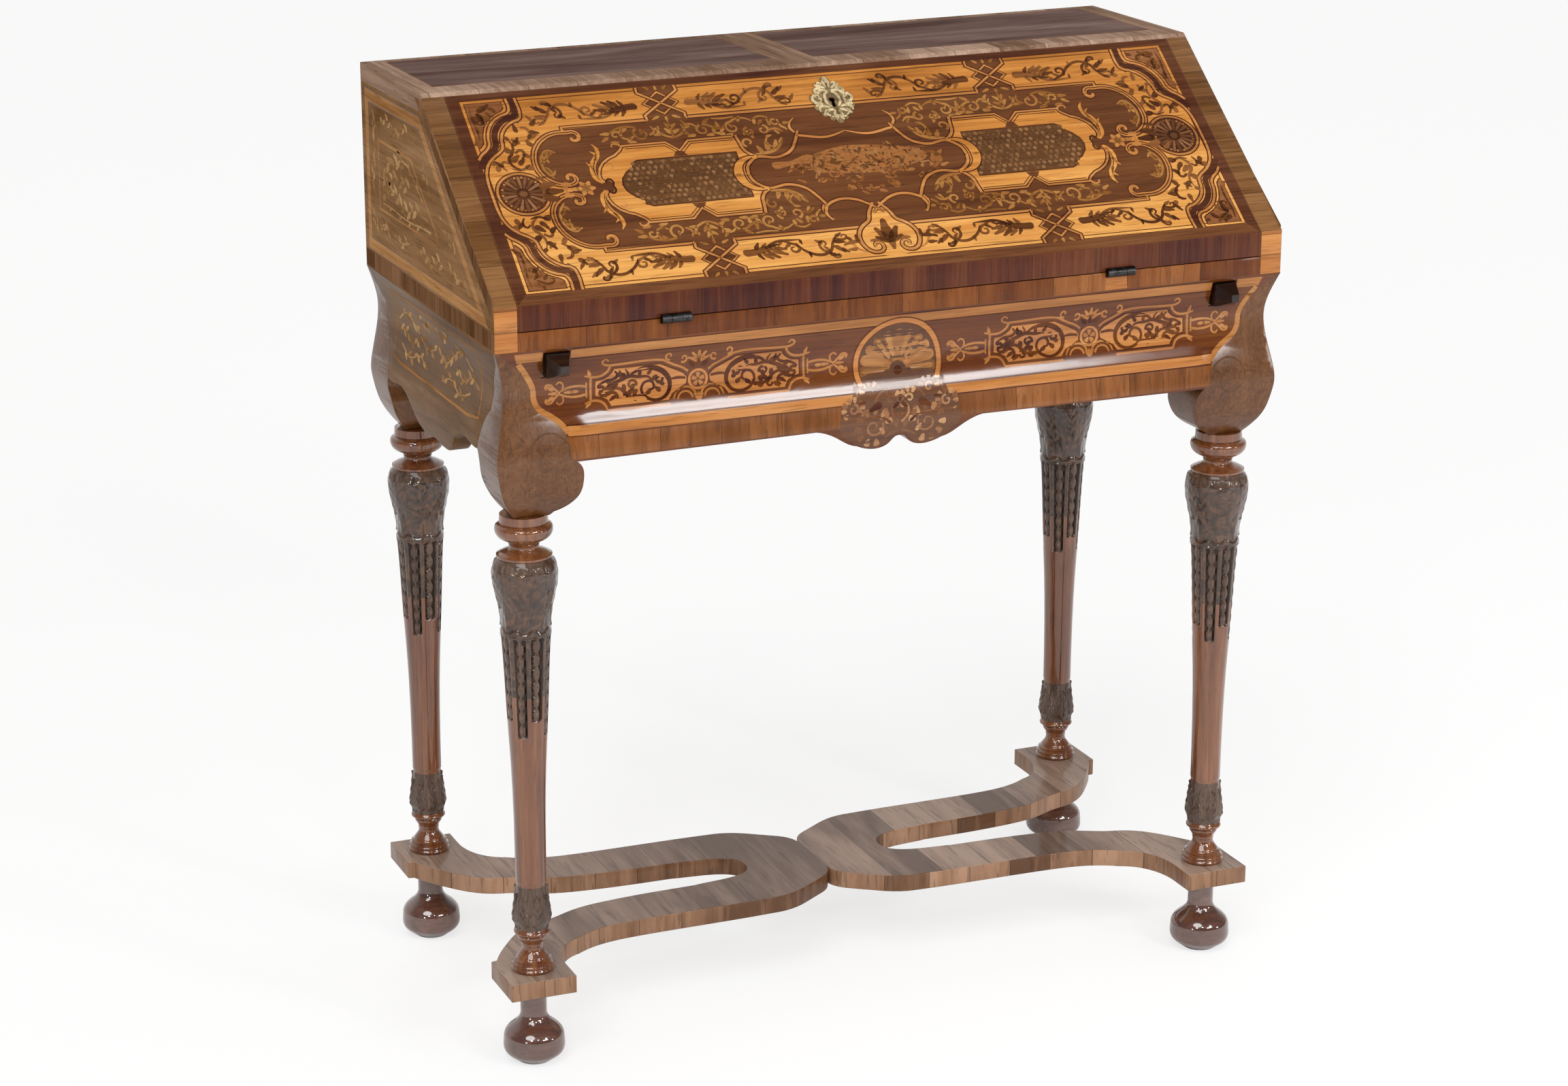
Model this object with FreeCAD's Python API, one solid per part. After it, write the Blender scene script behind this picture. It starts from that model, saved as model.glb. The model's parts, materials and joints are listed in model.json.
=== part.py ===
# Slant-front desk: a writing case with a sloping fall and a shaped frieze, carried by four
# turned legs, a flat curved stretcher and bun feet.
# Units are millimetres. +X is the user's right, -Y faces the user and +Z is up.
# The origin is on the floor, under the middle of the whole desk.
import FreeCAD, Part
import math
import os

V = FreeCAD.Vector

# Case
case_width = 850.0
case_depth = 419.3
writing_height = 775.5
top_above_writing = 196.4
side_thickness = 23.8
back_thickness = 12.0
board_thickness = 18.5
bottom_board_thickness = 12.0
bottom_board_rise = 12.0
rail_depth = 20.0
top_lip = 6.0
panel_gap = 0.6

# Fall front
slant_angle = 38.4
fall_thickness = 19.5
hinge_stand_off = 1.5
fall_edge_gap = 0.5

# Frieze with its cove and bulge, and the corner blocks with their ears
block_height = 173.0
frieze_edge_drop = 113.7
frieze_tuck = 25.0
frieze_wood = 24.5
ear_width = 90.0
side_ear_width = 64.0
pendant_half_width = 91.0
pendant_drop = 24.6
side_edge_drop = 109.7
side_edge_straight = 6.5
side_pendant_drop = 29.8
back_rail_thickness = 20.0

# Stand
side_overhang = 40.1
front_overhang = 42.0
back_overhang = 32.3
foot_height = 81.0
foot_radius = 31.5
stretcher_thickness = 18.8
stretcher_reach = 34.5
stretcher_set_in = 74.5
stretcher_shoulder = 98.0
leg_radius = 31.8
leg_tenon_radius = 12.0
leg_tenon_length = 34.0
foot_dowel_radius = 8.0
foot_dowel_length = 22.0
dowel_clearance = 0.05

# Lopers, the sliding bars that carry the open fall
loper_side = 26.4
loper_back_room = 47.3
loper_centre_in = 63.5
loper_top_drop = 22.2
loper_recess = 12.0
slide_clearance = 0.35
guide_wall = 10.0
guide_back_room = 34.8
pull_reach = 21.0
pull_side = 23.0
pull_block = 13.0
pull_tip_side = 8.0
pull_dowel_radius = 4.0
pull_dowel_length = 18.0

# Well in the writing board, with its sliding cover
well_width = 320.0
well_depth = 120.0
well_from_front = 70.0
cover_thickness = 8.0
cover_skin = 3.2
cover_tongue = 8.0
cover_travel = 110.0
cover_notch_radius = 16.0
cover_notch_depth = 3.0

# Fitted interior
fitting_set_back = 7.19
upright_thickness = 9.0
bay_count = 4
shelf_thickness = 6.0
drawer_height = 58.0
drawer_front_thickness = 10.0
drawer_wall = 6.0
drawer_floor = 5.0
drawer_back_room = 12.81
drawer_gap = 0.6
knob_radius = 7.0
knob_length = 13.0
knob_neck_radius = 3.0
knob_dowel_length = 8.0

# Hinges, two on the front rail
hinge_spacing = 480.0
hinge_width = 31.0
hinge_leaf_length = 28.0
hinge_leaf_thickness = 2.0
knuckle_radius = 4.5
knuckle_gap = 0.4
hinge_pin_radius = 1.6
screw_radius = 1.5
screw_head_radius = 2.8
screw_head_height = 1.0
screw_length = 10.0
screws_per_leaf = 3
recess_gap = 0.3

# Lock, strike and escutcheon at the top edge of the fall
lock_width = 70.0
lock_height = 72.0
lock_depth = 11.0
bolt_width = 18.0
bolt_thickness = 5.0
bolt_length = 40.0
bolt_throw = 8.0
keyhole_from_edge = 46.0
keyhole_radius = 3.0
strike_width = 50.0
strike_height = 10.0
strike_thickness = 1.5
escutcheon_height = 64.0
escutcheon_width = 48.0
escutcheon_thickness = 1.6
escutcheon_pin_radius = 0.9
escutcheon_pin_depth = 6.0

# One overrun for every cut
overrun = 5.0

# Outlines, as shares of the sizes they follow
# Frieze face from the top down: how far it tucks in, and how far down
frieze_face_shares = (
    (0.0, 0.0), (0.24, 0.10), (0.42, 0.21), (0.44, 0.28), (0.32, 0.41),
    (0.12, 0.55), (0.04, 0.65), (0.12, 0.74), (0.36, 0.865), (0.64, 0.935), (1.0, 1.0),
)
# The same face cut in stretches: all the way down, and flat at the back until the ear curls in
moulded_face_shares = (frieze_face_shares,)
flat_face_shares = (
    ((0.0, 0.0), (0.0, 0.65)),
    ((0.0, 0.65), (0.12, 0.74), (0.36, 0.865), (0.64, 0.935), (1.0, 1.0)),
)
# Inner outline of a front ear from the top down: an S, a notch, then a lobe
ear_s_shares = (
    ((0.055, 0.0), (0.21, 0.08), (0.39, 0.175), (0.455, 0.30), (0.50, 0.355)),
    ((0.50, 0.355), (0.66, 0.41), (0.80, 0.50), (0.867, 0.59), (0.92, 0.665)),
    ((0.92, 0.665), (0.985, 0.71), (1.0, 0.79), (0.97, 0.87), (0.88, 0.93), (0.72, 0.975)),
    ((0.72, 0.975), (0.68, 1.0)),
)
# Inner outline of a side ear, the same way
side_ear_s_shares = (
    ((0.06, 0.0), (0.24, 0.09), (0.50, 0.18), (0.62, 0.30), (0.66, 0.38)),
    ((0.66, 0.38), (0.82, 0.44), (0.93, 0.53), (0.98, 0.63)),
    ((0.98, 0.63), (0.925, 0.69), (0.985, 0.79), (0.925, 0.87), (0.86, 0.94), (0.74, 0.97)),
    ((0.74, 0.97), (0.70, 1.0)),
)
# Half of the front pendant from the middle out: across, and down
pendant_shares = (
    ((0.0, 0.52), (0.07, 0.60), (0.12, 0.80), (0.19, 0.95), (0.33, 1.0), (0.51, 0.80)),
    ((0.51, 0.80), (0.64, 0.62), (0.76, 0.34), (0.88, 0.12), (1.0, 0.0)),
)
# Half of the side pendant from the middle out, to the crown of the small arch
side_pendant_shares = (
    ((0.0, 0.90), (0.12, 0.97), (0.29, 1.0), (0.43, 0.95), (0.53, 0.78)),
    ((0.53, 0.78), (0.625, 0.51), (0.72, 0.21), (0.83, 0.02), (1.0, -0.10), (1.2, -0.03), (1.35, 0.0)),
)
# Leg from the stretcher up: height, and radius
leg_shares = (
    ((0.0, 0.645), (0.007, 0.676), (0.019, 0.63), (0.035, 0.47), (0.046, 0.36), (0.058, 0.36)),
    ((0.058, 0.36), (0.066, 0.39), (0.074, 0.46), (0.082, 0.43)),
    ((0.082, 0.43), (0.083, 0.56)),
    ((0.083, 0.56), (0.086, 0.585), (0.091, 0.56)),
    ((0.091, 0.56), (0.0995, 0.50), (0.116, 0.585), (0.135, 0.575), (0.157, 0.53), (0.182, 0.497)),
    ((0.182, 0.497), (0.327, 0.506), (0.465, 0.565), (0.568, 0.65), (0.67, 0.717), (0.736, 0.774)),
    ((0.736, 0.774), (0.746, 0.808)),
    ((0.746, 0.808), (0.806, 0.824), (0.846, 0.955), (0.871, 1.0), (0.893, 0.955), (0.909, 0.84)),
    ((0.909, 0.84), (0.912, 0.70)),
    ((0.912, 0.70), (0.919, 0.54), (0.929, 0.472), (0.938, 0.495), (0.946, 0.62)),
    ((0.946, 0.62), (0.950, 0.755)),
    ((0.950, 0.755), (0.963, 0.90), (0.970, 0.912), (0.977, 0.88), (0.980, 0.77)),
    ((0.980, 0.77), (1.0, 0.75)),
)
# Foot from the floor up: height, and radius
foot_shares = (
    ((0.0, 0.55), (0.03, 0.65), (0.062, 0.76), (0.135, 0.965), (0.27, 1.0), (0.34, 0.985)),
    ((0.34, 0.985), (0.405, 0.92), (0.496, 0.68), (0.54, 0.555), (0.586, 0.475), (0.65, 0.43)),
    ((0.65, 0.43), (1.0, 0.43)),
)
# Stretcher, one quarter: across as shares of the reach to the plinth's outer faces; along as
# shares of the half depth up to 1, and what is over 1 as shares of the shoulder
stretcher_front_shares = (
    ((0.0, 0.40), (0.024, 0.60), (0.06, 0.71), (0.12, 0.88), (0.20, 0.97)),
    ((0.20, 0.97), (0.30, 0.985), (0.45, 0.99), (0.57, 1.0), (0.66, 1.04), (0.75, 1.20)),
    ((0.75, 1.20), (0.80, 1.35), (0.826, 1.56), (0.834, 1.80)),
)
stretcher_back_shares = (
    ((1.0, 1.45), (0.985, 1.44)),
    ((0.985, 1.44), (0.97, 1.32), (0.93, 1.07), (0.875, 0.80), (0.81, 0.65)),
    ((0.81, 0.65), (0.77, 0.60), (0.71, 0.48), (0.60, 0.38), (0.48, 0.345), (0.36, 0.335)),
    ((0.36, 0.335), (0.25, 0.27), (0.20, 0.15), (0.19, 0.0)),
)
# Right half of the escutcheon from its foot up: across, and up
escutcheon_shares = (
    ((0.0, -0.50), (0.20, -0.43), (0.30, -0.30), (0.26, -0.20)),
    ((0.26, -0.20), (0.42, -0.14), (0.50, 0.02), (0.42, 0.14)),
    ((0.42, 0.14), (0.46, 0.28), (0.32, 0.40), (0.18, 0.42), (0.0, 0.50)),
)
escutcheon_pin_share_x = 0.30
escutcheon_pin_share_z = 0.36
leaf_screw_share = 0.62

# Places worked out from the sizes
total_height = writing_height + top_above_writing
half_width = case_width / 2
inner_half = half_width - side_thickness
leg_spacing_y = case_depth - front_overhang - back_overhang
leg_plane_y = (front_overhang + pull_reach - stretcher_reach) / 2
front_y = leg_plane_y - leg_spacing_y / 2 - front_overhang
back_y = front_y + case_depth
case_mid_y = (front_y + back_y) / 2
frieze_top = writing_height - board_thickness
block_bottom = frieze_top - block_height
leg_x = half_width - side_overhang
leg_ys = (leg_plane_y - leg_spacing_y / 2, leg_plane_y + leg_spacing_y / 2)
leg_bottom = foot_height + stretcher_thickness
leg_height = block_bottom - leg_bottom
slope = math.radians(slant_angle)
hinge_y = front_y - hinge_stand_off
hinge_z = writing_height
fall_inner_z = hinge_z + hinge_stand_off * math.tan(slope)
break_z = fall_inner_z + fall_thickness / math.cos(slope)
slope_length = (total_height - break_z) / math.sin(slope)
arris_y = front_y + slope_length * math.cos(slope)
fall_end = slope_length - top_lip
back_inner_y = back_y - back_thickness
loper_x = half_width - loper_centre_in
loper_mid_z = writing_height - loper_top_drop - loper_side / 2
fitting_y = arris_y + fall_thickness * math.sin(slope) - top_lip * math.cos(slope) + fitting_set_back
drawer_length = back_inner_y - fitting_y - drawer_back_room
shelf_z = writing_height + drawer_height
side_notch_in = side_ear_width * side_ear_s_shares[1][-1][0]
side_arches_half = case_depth / 2 - side_notch_in - side_edge_straight
side_pendant_half_width = side_arches_half / side_pendant_shares[-1][-1][0]
loper_length = case_depth - loper_recess - back_rail_thickness - loper_back_room
guide_length = case_depth - frieze_wood - back_rail_thickness - guide_back_room
stretcher_half_depth = leg_spacing_y / 2 - stretcher_set_in


def on_slope(along, out):
    """Point of the section, measured up the slope from its foot and outwards from the inner face."""
    inward = fall_thickness - out
    return (
        front_y + along * math.cos(slope) + inward * math.sin(slope),
        break_z + along * math.sin(slope) - inward * math.cos(slope),
    )


def box(x0, x1, y0, y1, z0, z1):
    return Part.makeBox(x1 - x0, y1 - y0, z1 - z0, V(x0, y0, z0))


def face_of(edges):
    return Part.Face(Part.Wire(Part.sortEdges(edges)[0]))


def stretch(points):
    """Edge through a stretch of an outline: a line between two points, a curve through more."""
    if len(points) == 2:
        return Part.LineSegment(points[0], points[1]).toShape()
    curve = Part.BSplineCurve()
    curve.interpolate(points)
    return curve.toShape()


def polygon(points):
    return face_of([stretch([a, b]) for a, b in zip(points, points[1:] + points[:1])])


def prism_x(section, x0, x1):
    """Solid along X from a section given as (y, z) points."""
    face = polygon([V(x0, y, z) for y, z in section])
    return face.extrude(V(x1 - x0, 0, 0))


def mirror_x(shape):
    return shape.mirror(V(0, 0, 0), V(1, 0, 0))


def sloped(shape, along, out):
    """A shape modelled with Y up the slope and Z outwards, set down on the slope at a point."""
    y, z = on_slope(along, out)
    placed = shape.copy()
    placed.rotate(V(0, 0, 0), V(1, 0, 0), slant_angle)
    placed.translate(V(0, y, z))
    return placed


def lathe(shares, height, radius, base_z, x, y):
    """Turned solid from stretches of (height share, radius share)."""
    edges = []
    for part_shares in shares:
        points = [V(radius * r, 0, base_z + height * h) for h, r in part_shares]
        edges.append(stretch(points))
    low = V(0, 0, base_z)
    high = V(0, 0, base_z + height)
    edges.append(stretch([low, V(radius * shares[0][0][1], 0, base_z)]))
    edges.append(stretch([high, V(radius * shares[-1][-1][1], 0, base_z + height)]))
    edges.append(stretch([low, high]))
    solid = face_of(edges).revolve(V(0, 0, 0), V(0, 0, 1), 360)
    solid.translate(V(x, y, 0))
    return solid


def outline_edges(shares, width, place):
    """Edges down a block; place turns (distance from the outer face, z) into a point."""
    edges = []
    for part_shares in shares:
        points = [place(width * a, frieze_top - block_height * d) for a, d in part_shares]
        edges.append(stretch(points))
    return edges


def ear_section(face_shares, shares, width, place):
    """Face of an ear: outer face, inner outline, top and bottom."""
    outer = outline_edges(face_shares, frieze_tuck, place)
    inner = outline_edges(shares, width, place)
    outer_low = place(frieze_tuck * face_shares[-1][-1][0], block_bottom)
    top = stretch([place(0, frieze_top), place(width * shares[0][0][0], frieze_top)])
    bottom = stretch([outer_low, place(width * shares[-1][-1][0], block_bottom)])
    return face_of([top, bottom] + outer + inner)


def corner_block(left, back):
    """Block over a leg: the front ear's outline and the side ear's outline, each cut through."""
    sign_x = -1 if left else 1
    far_y = back_y if back else front_y
    sign_y = -1 if back else 1

    def front_place(inwards, z):
        return V(sign_x * (half_width - inwards), front_y - overrun, z)

    def side_place(inwards, z):
        return V(-half_width - overrun, far_y + sign_y * inwards, z)

    far_face = flat_face_shares if back else moulded_face_shares
    across = ear_section(moulded_face_shares, ear_s_shares, ear_width, front_place)
    across = across.extrude(V(0, case_depth + 2 * overrun, 0))
    along = ear_section(far_face, side_ear_s_shares, side_ear_width, side_place)
    along = along.extrude(V(case_width + 2 * overrun, 0, 0))
    block = across.common(along)
    leg_y = leg_ys[1] if back else leg_ys[0]
    hole = Part.makeCylinder(
        leg_tenon_radius + dowel_clearance, leg_tenon_length + recess_gap,
        V(sign_x * leg_x, leg_y, block_bottom))
    return block.cut(hole)


def mirrored_outline(shares, half, place):
    """Edges of a symmetric lower outline, from stretches given for its right half."""
    edges = []
    for part_shares in shares:
        for side in (-1, 1):
            points = [place(side * half * a, d) for a, d in part_shares]
            edges.append(stretch(points))
    return edges


def moulded_section(wood, place):
    """Section of a moulded board; place turns (distance from the outer face, z) into a point."""
    edges = outline_edges(moulded_face_shares, frieze_tuck, place)
    low_tuck = frieze_tuck * frieze_face_shares[-1][0]
    edges.append(stretch([place(0, frieze_top), place(wood, frieze_top)]))
    edges.append(stretch([place(wood, frieze_top), place(wood, block_bottom)]))
    edges.append(stretch([place(wood, block_bottom), place(low_tuck, block_bottom)]))
    return face_of(edges)


def frieze_slab_front():
    """Moulded board over the full width of the front, before its outline is cut."""

    def place(inwards, z):
        return V(-half_width, front_y + inwards, z)

    return moulded_section(frieze_wood, place).extrude(V(case_width, 0, 0))


def frieze_slab_side():
    """Moulded board over the full depth of the right side, before its outline is cut."""

    def place(inwards, z):
        return V(half_width - inwards, front_y, z)

    return moulded_section(side_thickness, place).extrude(V(0, case_depth, 0))


def upper_ear_shares(shares):
    """The S above the notch, which the frieze boards share with the ears."""
    return shares[:2]


def front_outline(y, pendant):
    """Face of a frieze board seen from the front: S ends, and a straight edge or a pendant."""
    edge_z = frieze_top - frieze_edge_drop

    def place(x, drop_share):
        return V(x, y, edge_z - pendant_drop * drop_share)

    def left_place(inwards, z):
        return V(-half_width + inwards, y, z)

    def right_place(inwards, z):
        return V(half_width - inwards, y, z)

    s_shares = upper_ear_shares(ear_s_shares)
    edges = outline_edges(s_shares, ear_width, left_place)
    edges += outline_edges(s_shares, ear_width, right_place)
    if pendant:
        edges += mirrored_outline(pendant_shares, pendant_half_width, place)
    else:
        edges.append(stretch([place(-pendant_half_width, 0), place(pendant_half_width, 0)]))
    top_in = ear_width * s_shares[0][0][0]
    low_in, low_drop = s_shares[-1][-1]
    notch_z = frieze_top - block_height * low_drop
    edges.append(stretch([left_place(top_in, frieze_top), right_place(top_in, frieze_top)]))
    for put in (left_place, right_place):
        notch = put(ear_width * low_in, notch_z)
        sign = -1 if put is left_place else 1
        edges.append(stretch([notch, place(sign * pendant_half_width, 0)]))
    return face_of(edges)


def side_outline():
    """Face of the side frieze seen from the side: S ends, two small arches and a pendant."""
    edge_z = frieze_top - side_edge_drop

    def place(dy, drop_share):
        return V(inner_half - overrun, case_mid_y + dy, edge_z - side_pendant_drop * drop_share)

    def front_place(inwards, z):
        return V(inner_half - overrun, front_y + inwards, z)

    def back_place(inwards, z):
        return V(inner_half - overrun, back_y - inwards, z)

    s_shares = upper_ear_shares(side_ear_s_shares)
    edges = mirrored_outline(side_pendant_shares, side_pendant_half_width, place)
    edges += outline_edges(s_shares, side_ear_width, front_place)
    edges += outline_edges(s_shares, side_ear_width, back_place)
    top_in = side_ear_width * s_shares[0][0][0]
    low_in, low_drop = s_shares[-1][-1]
    notch_z = frieze_top - block_height * low_drop
    end_share = side_pendant_shares[-1][-1][0]
    edges.append(stretch([front_place(top_in, frieze_top), back_place(top_in, frieze_top)]))
    for put in (front_place, back_place):
        notch = put(side_ear_width * low_in, notch_z)
        sign = -1 if put is front_place else 1
        edges.append(stretch([notch, place(sign * side_pendant_half_width * end_share, 0)]))
    return face_of(edges)


def front_frieze():
    outline = front_outline(front_y - overrun, True).extrude(V(0, case_depth / 2, 0))
    frieze = frieze_slab_front().common(outline)
    hole_half = loper_side / 2 + slide_clearance
    for side in (-1, 1):
        frieze = frieze.cut(box(
            side * loper_x - hole_half, side * loper_x + hole_half,
            front_y - overrun, front_y + frieze_wood + overrun,
            loper_mid_z - hole_half, loper_mid_z + hole_half))
    return frieze


def side_frieze():
    """Moulded board along the side, butted against the front frieze and the back rail."""
    outline = side_outline().extrude(V(side_thickness + 2 * overrun, 0, 0))
    board = frieze_slab_side().common(outline)
    return board.cut(front_frieze()).cut(back_rail())


def back_rail():
    """Flat board across the back, its ends cut to the back ears."""
    return front_outline(back_y - back_rail_thickness, False).extrude(V(0, back_rail_thickness, 0))


def case_side():
    tip = on_slope(fall_end, fall_thickness)
    under = on_slope(fall_end, 0)
    section = [
        (front_y, frieze_top), (front_y, break_z), tip, under,
        (back_y, under[1]), (back_y, frieze_top),
    ]
    return prism_x(section, inner_half, half_width)


def top_board():
    tip = on_slope(fall_end, fall_thickness)
    under = on_slope(fall_end, 0)
    section = [(arris_y, total_height), tip, under, (back_y, under[1]), (back_y, total_height)]
    board = prism_x(section, -half_width, half_width)
    strike_room = Part.makeBox(
        strike_width, strike_thickness, strike_height,
        V(-strike_width / 2, 0, 0))
    bolt_room = Part.makeBox(
        bolt_width + 2 * slide_clearance, bolt_throw + strike_thickness + overrun,
        bolt_thickness + 2 * slide_clearance,
        V(-bolt_width / 2 - slide_clearance, 0, 0))
    board = board.cut(sloped(strike_room, fall_end, strike_low))
    return board.cut(sloped(bolt_room, fall_end, bolt_low - slide_clearance))


def back_panel():
    under = on_slope(fall_end, 0)
    return box(-inner_half, inner_half, back_inner_y, back_y, frieze_top, under[1])


def hinge_xs():
    return (-hinge_spacing / 2, hinge_spacing / 2)


def knuckle_spans():
    """The three knuckles of a hinge, from its left end: start and end."""
    third = hinge_width / 3
    return [
        (-hinge_width / 2 + i * third + knuckle_gap / 2,
         -hinge_width / 2 + (i + 1) * third - knuckle_gap / 2)
        for i in range(3)
    ]


def knuckle_room(x):
    half = hinge_width / 2 + recess_gap
    return Part.makeCylinder(
        knuckle_radius + recess_gap, 2 * half, V(x - half, hinge_y, hinge_z), V(1, 0, 0))


def leaf_plate(spans, x):
    """Hinge leaf lying along +Y from the pin, its upper face through the pin's axis."""
    start = knuckle_radius + recess_gap
    leaf = box(
        x - hinge_width / 2, x + hinge_width / 2, start, hinge_leaf_length,
        -hinge_leaf_thickness, 0)
    for low, high in spans:
        leaf = leaf.fuse(box(x + low, x + high, 0, start, -hinge_leaf_thickness, 0))
        leaf = leaf.fuse(Part.makeCylinder(knuckle_radius, high - low, V(x + low, 0, 0), V(1, 0, 0)))
    bore = Part.makeCylinder(
        hinge_pin_radius + dowel_clearance, 2 * hinge_width, V(x - hinge_width, 0, 0), V(1, 0, 0))
    leaf = leaf.cut(bore)
    for hole in leaf_screws(x, dowel_clearance):
        leaf = leaf.cut(hole)
    return leaf.removeSplitter()


def leaf_screws(x, clearance):
    """Countersunk screws of one leaf, heads flush with its face, pointing down."""
    screws = []
    pitch = hinge_width / screws_per_leaf
    y = hinge_leaf_length * leaf_screw_share
    for i in range(screws_per_leaf):
        sx = x + (i - (screws_per_leaf - 1) / 2) * pitch
        shank = Part.makeCylinder(
            screw_radius + clearance, screw_length + clearance, V(sx, y, 0), V(0, 0, -1))
        head = Part.makeCone(
            screw_head_radius + clearance, screw_radius + clearance, screw_head_height,
            V(sx, y, 0), V(0, 0, -1))
        screws.append(shank.fuse(head).removeSplitter())
    return screws


def onto_case(shape):
    placed = shape.copy()
    placed.translate(V(0, hinge_y, hinge_z))
    return placed


def onto_fall(shape):
    """Turns a leaf that lies on the writing board over onto the inner face of the closed fall."""
    placed = shape.mirror(V(0, 0, 0), V(0, 0, 1))
    placed.rotate(V(0, 0, 0), V(1, 0, 0), slant_angle)
    placed.translate(V(0, hinge_y, hinge_z))
    return placed


def leaf_room(x):
    """Room cut in the wood for one leaf and its screws."""
    room = box(
        x - hinge_width / 2 - recess_gap, x + hinge_width / 2 + recess_gap,
        0, hinge_leaf_length + recess_gap, -hinge_leaf_thickness, overrun)
    for hole in leaf_screws(x, dowel_clearance):
        room = room.fuse(hole)
    return room


def front_rail():
    rail = box(-inner_half, inner_half, front_y, front_y + rail_depth, frieze_top, writing_height)
    for x in hinge_xs():
        rail = rail.cut(knuckle_room(x))
        rail = rail.cut(onto_case(leaf_room(x)))
    return rail


def writing_board():
    board = box(
        -inner_half, inner_half, front_y + rail_depth, back_inner_y, frieze_top, writing_height)
    for x in hinge_xs():
        board = board.cut(onto_case(leaf_room(x)))
    y0 = front_y + well_from_front
    y1 = y0 + well_depth
    half = well_width / 2
    end = y1 + cover_tongue + cover_travel + slide_clearance
    roof = writing_height - cover_skin + slide_clearance
    floor = writing_height - cover_skin - cover_thickness - slide_clearance
    groove = half + cover_tongue + slide_clearance
    board = board.cut(box(-half, half, y0, y1, frieze_top - overrun, writing_height + overrun))
    board = board.cut(box(-groove, groove, y0 - cover_tongue - slide_clearance, end, floor, roof))
    return board.cut(box(-half, half, y1 - overrun, end, frieze_top - overrun, roof))


def well_cover():
    y0 = front_y + well_from_front
    half = well_width / 2 + cover_tongue
    top = writing_height - cover_skin
    cover = box(
        -half, half, y0 - cover_tongue, y0 + well_depth + cover_tongue,
        top - cover_thickness, top)
    notch = Part.makeCylinder(
        cover_notch_radius, cover_notch_depth + overrun,
        V(0, y0 + cover_notch_radius, top - cover_notch_depth))
    return cover.cut(notch)


def case_bottom():
    z0 = frieze_top - frieze_edge_drop + bottom_board_rise
    reach_x = inner_half
    y0 = front_y + frieze_wood
    y1 = back_y - back_rail_thickness
    board = box(-reach_x, reach_x, y0, y1, z0, z0 + bottom_board_thickness)
    notch_x = half_width - ear_width
    for x0, x1 in ((-half_width, -notch_x), (notch_x, half_width)):
        for ya, yb in ((front_y, front_y + side_ear_width), (back_y - side_ear_width, back_y)):
            board = board.cut(box(x0, x1, ya, yb, block_bottom, frieze_top))
    return board


def loper():
    """Left sliding bar, with a hole in its end for the pull."""
    half = loper_side / 2
    y0 = front_y + loper_recess
    bar = box(
        -loper_x - half, -loper_x + half, y0, y0 + loper_length,
        loper_mid_z - half, loper_mid_z + half)
    return bar.cut(Part.makeCylinder(
        pull_dowel_radius + dowel_clearance, pull_dowel_length + recess_gap,
        V(-loper_x, y0, loper_mid_z), V(0, 1, 0)))


def square_at(y, side):
    half = side / 2
    return Part.makePolygon([
        V(-loper_x - half, y, loper_mid_z - half), V(-loper_x + half, y, loper_mid_z - half),
        V(-loper_x + half, y, loper_mid_z + half), V(-loper_x - half, y, loper_mid_z + half),
        V(-loper_x - half, y, loper_mid_z - half)])


def loper_pull():
    """Left pull: a square block that tapers in flat facets to a small blunt tip."""
    y0 = front_y + loper_recess
    shoulder = y0 - pull_block
    tip = front_y - pull_reach
    half = pull_side / 2
    body = box(
        -loper_x - half, -loper_x + half, shoulder, y0, loper_mid_z - half, loper_mid_z + half)
    taper = Part.makeLoft([square_at(shoulder, pull_side), square_at(tip, pull_tip_side)], True, True)
    dowel = Part.makeCylinder(
        pull_dowel_radius, pull_dowel_length, V(-loper_x, y0, loper_mid_z), V(0, 1, 0))
    return body.fuse([taper, dowel]).removeSplitter()


def loper_guide():
    """Left channel under the writing board in which the bar slides."""
    half = loper_side / 2 + slide_clearance
    floor = loper_mid_z - half
    y0 = front_y + frieze_wood
    y1 = y0 + guide_length
    channel = box(
        -loper_x - half - guide_wall, -loper_x + half + guide_wall, y0, y1,
        floor - guide_wall, frieze_top)
    return channel.cut(box(
        -loper_x - half, -loper_x + half, y0 - overrun, y1 + overrun,
        floor, frieze_top + overrun))


def fall_front():
    section = [
        (front_y, fall_inner_z), (front_y, break_z),
        on_slope(fall_end - fall_edge_gap, fall_thickness),
        on_slope(fall_end - fall_edge_gap, 0),
    ]
    half = inner_half - panel_gap
    fall = prism_x(section, -half, half)
    for x in hinge_xs():
        fall = fall.cut(knuckle_room(x))
        fall = fall.cut(onto_fall(leaf_room(x)))
    top = fall_end - fall_edge_gap
    room = Part.makeBox(lock_width, lock_height, lock_depth, V(-lock_width / 2, -lock_height, 0))
    fall = fall.cut(sloped(room, top, 0))
    fall = fall.cut(sloped(keyhole(fall_thickness + 2 * overrun), keyhole_along, -overrun))
    for pin in escutcheon_pins(dowel_clearance):
        fall = fall.cut(pin)
    return fall


def keyhole(depth):
    """Round hole with a slot below it, modelled flat and standing along +Z."""
    bow = Part.makeCylinder(keyhole_radius, depth)
    slot = Part.makeBox(
        keyhole_radius, 3 * keyhole_radius, depth, V(-keyhole_radius / 2, -3 * keyhole_radius, 0))
    return bow.fuse(slot).removeSplitter()


def lock_case():
    top = fall_end - fall_edge_gap
    body = Part.makeBox(lock_width, lock_height, lock_depth, V(-lock_width / 2, -lock_height, 0))
    channel = Part.makeBox(
        bolt_width + 2 * slide_clearance, bolt_length + fall_edge_gap + overrun + slide_clearance,
        bolt_thickness + 2 * slide_clearance,
        V(-bolt_width / 2 - slide_clearance, -bolt_length - fall_edge_gap - slide_clearance,
          bolt_low - slide_clearance))
    keyway = keyhole(lock_depth)
    keyway.translate(V(0, keyhole_along - top, bolt_low))
    return sloped(body.cut(channel).cut(keyway), top, 0)


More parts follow.
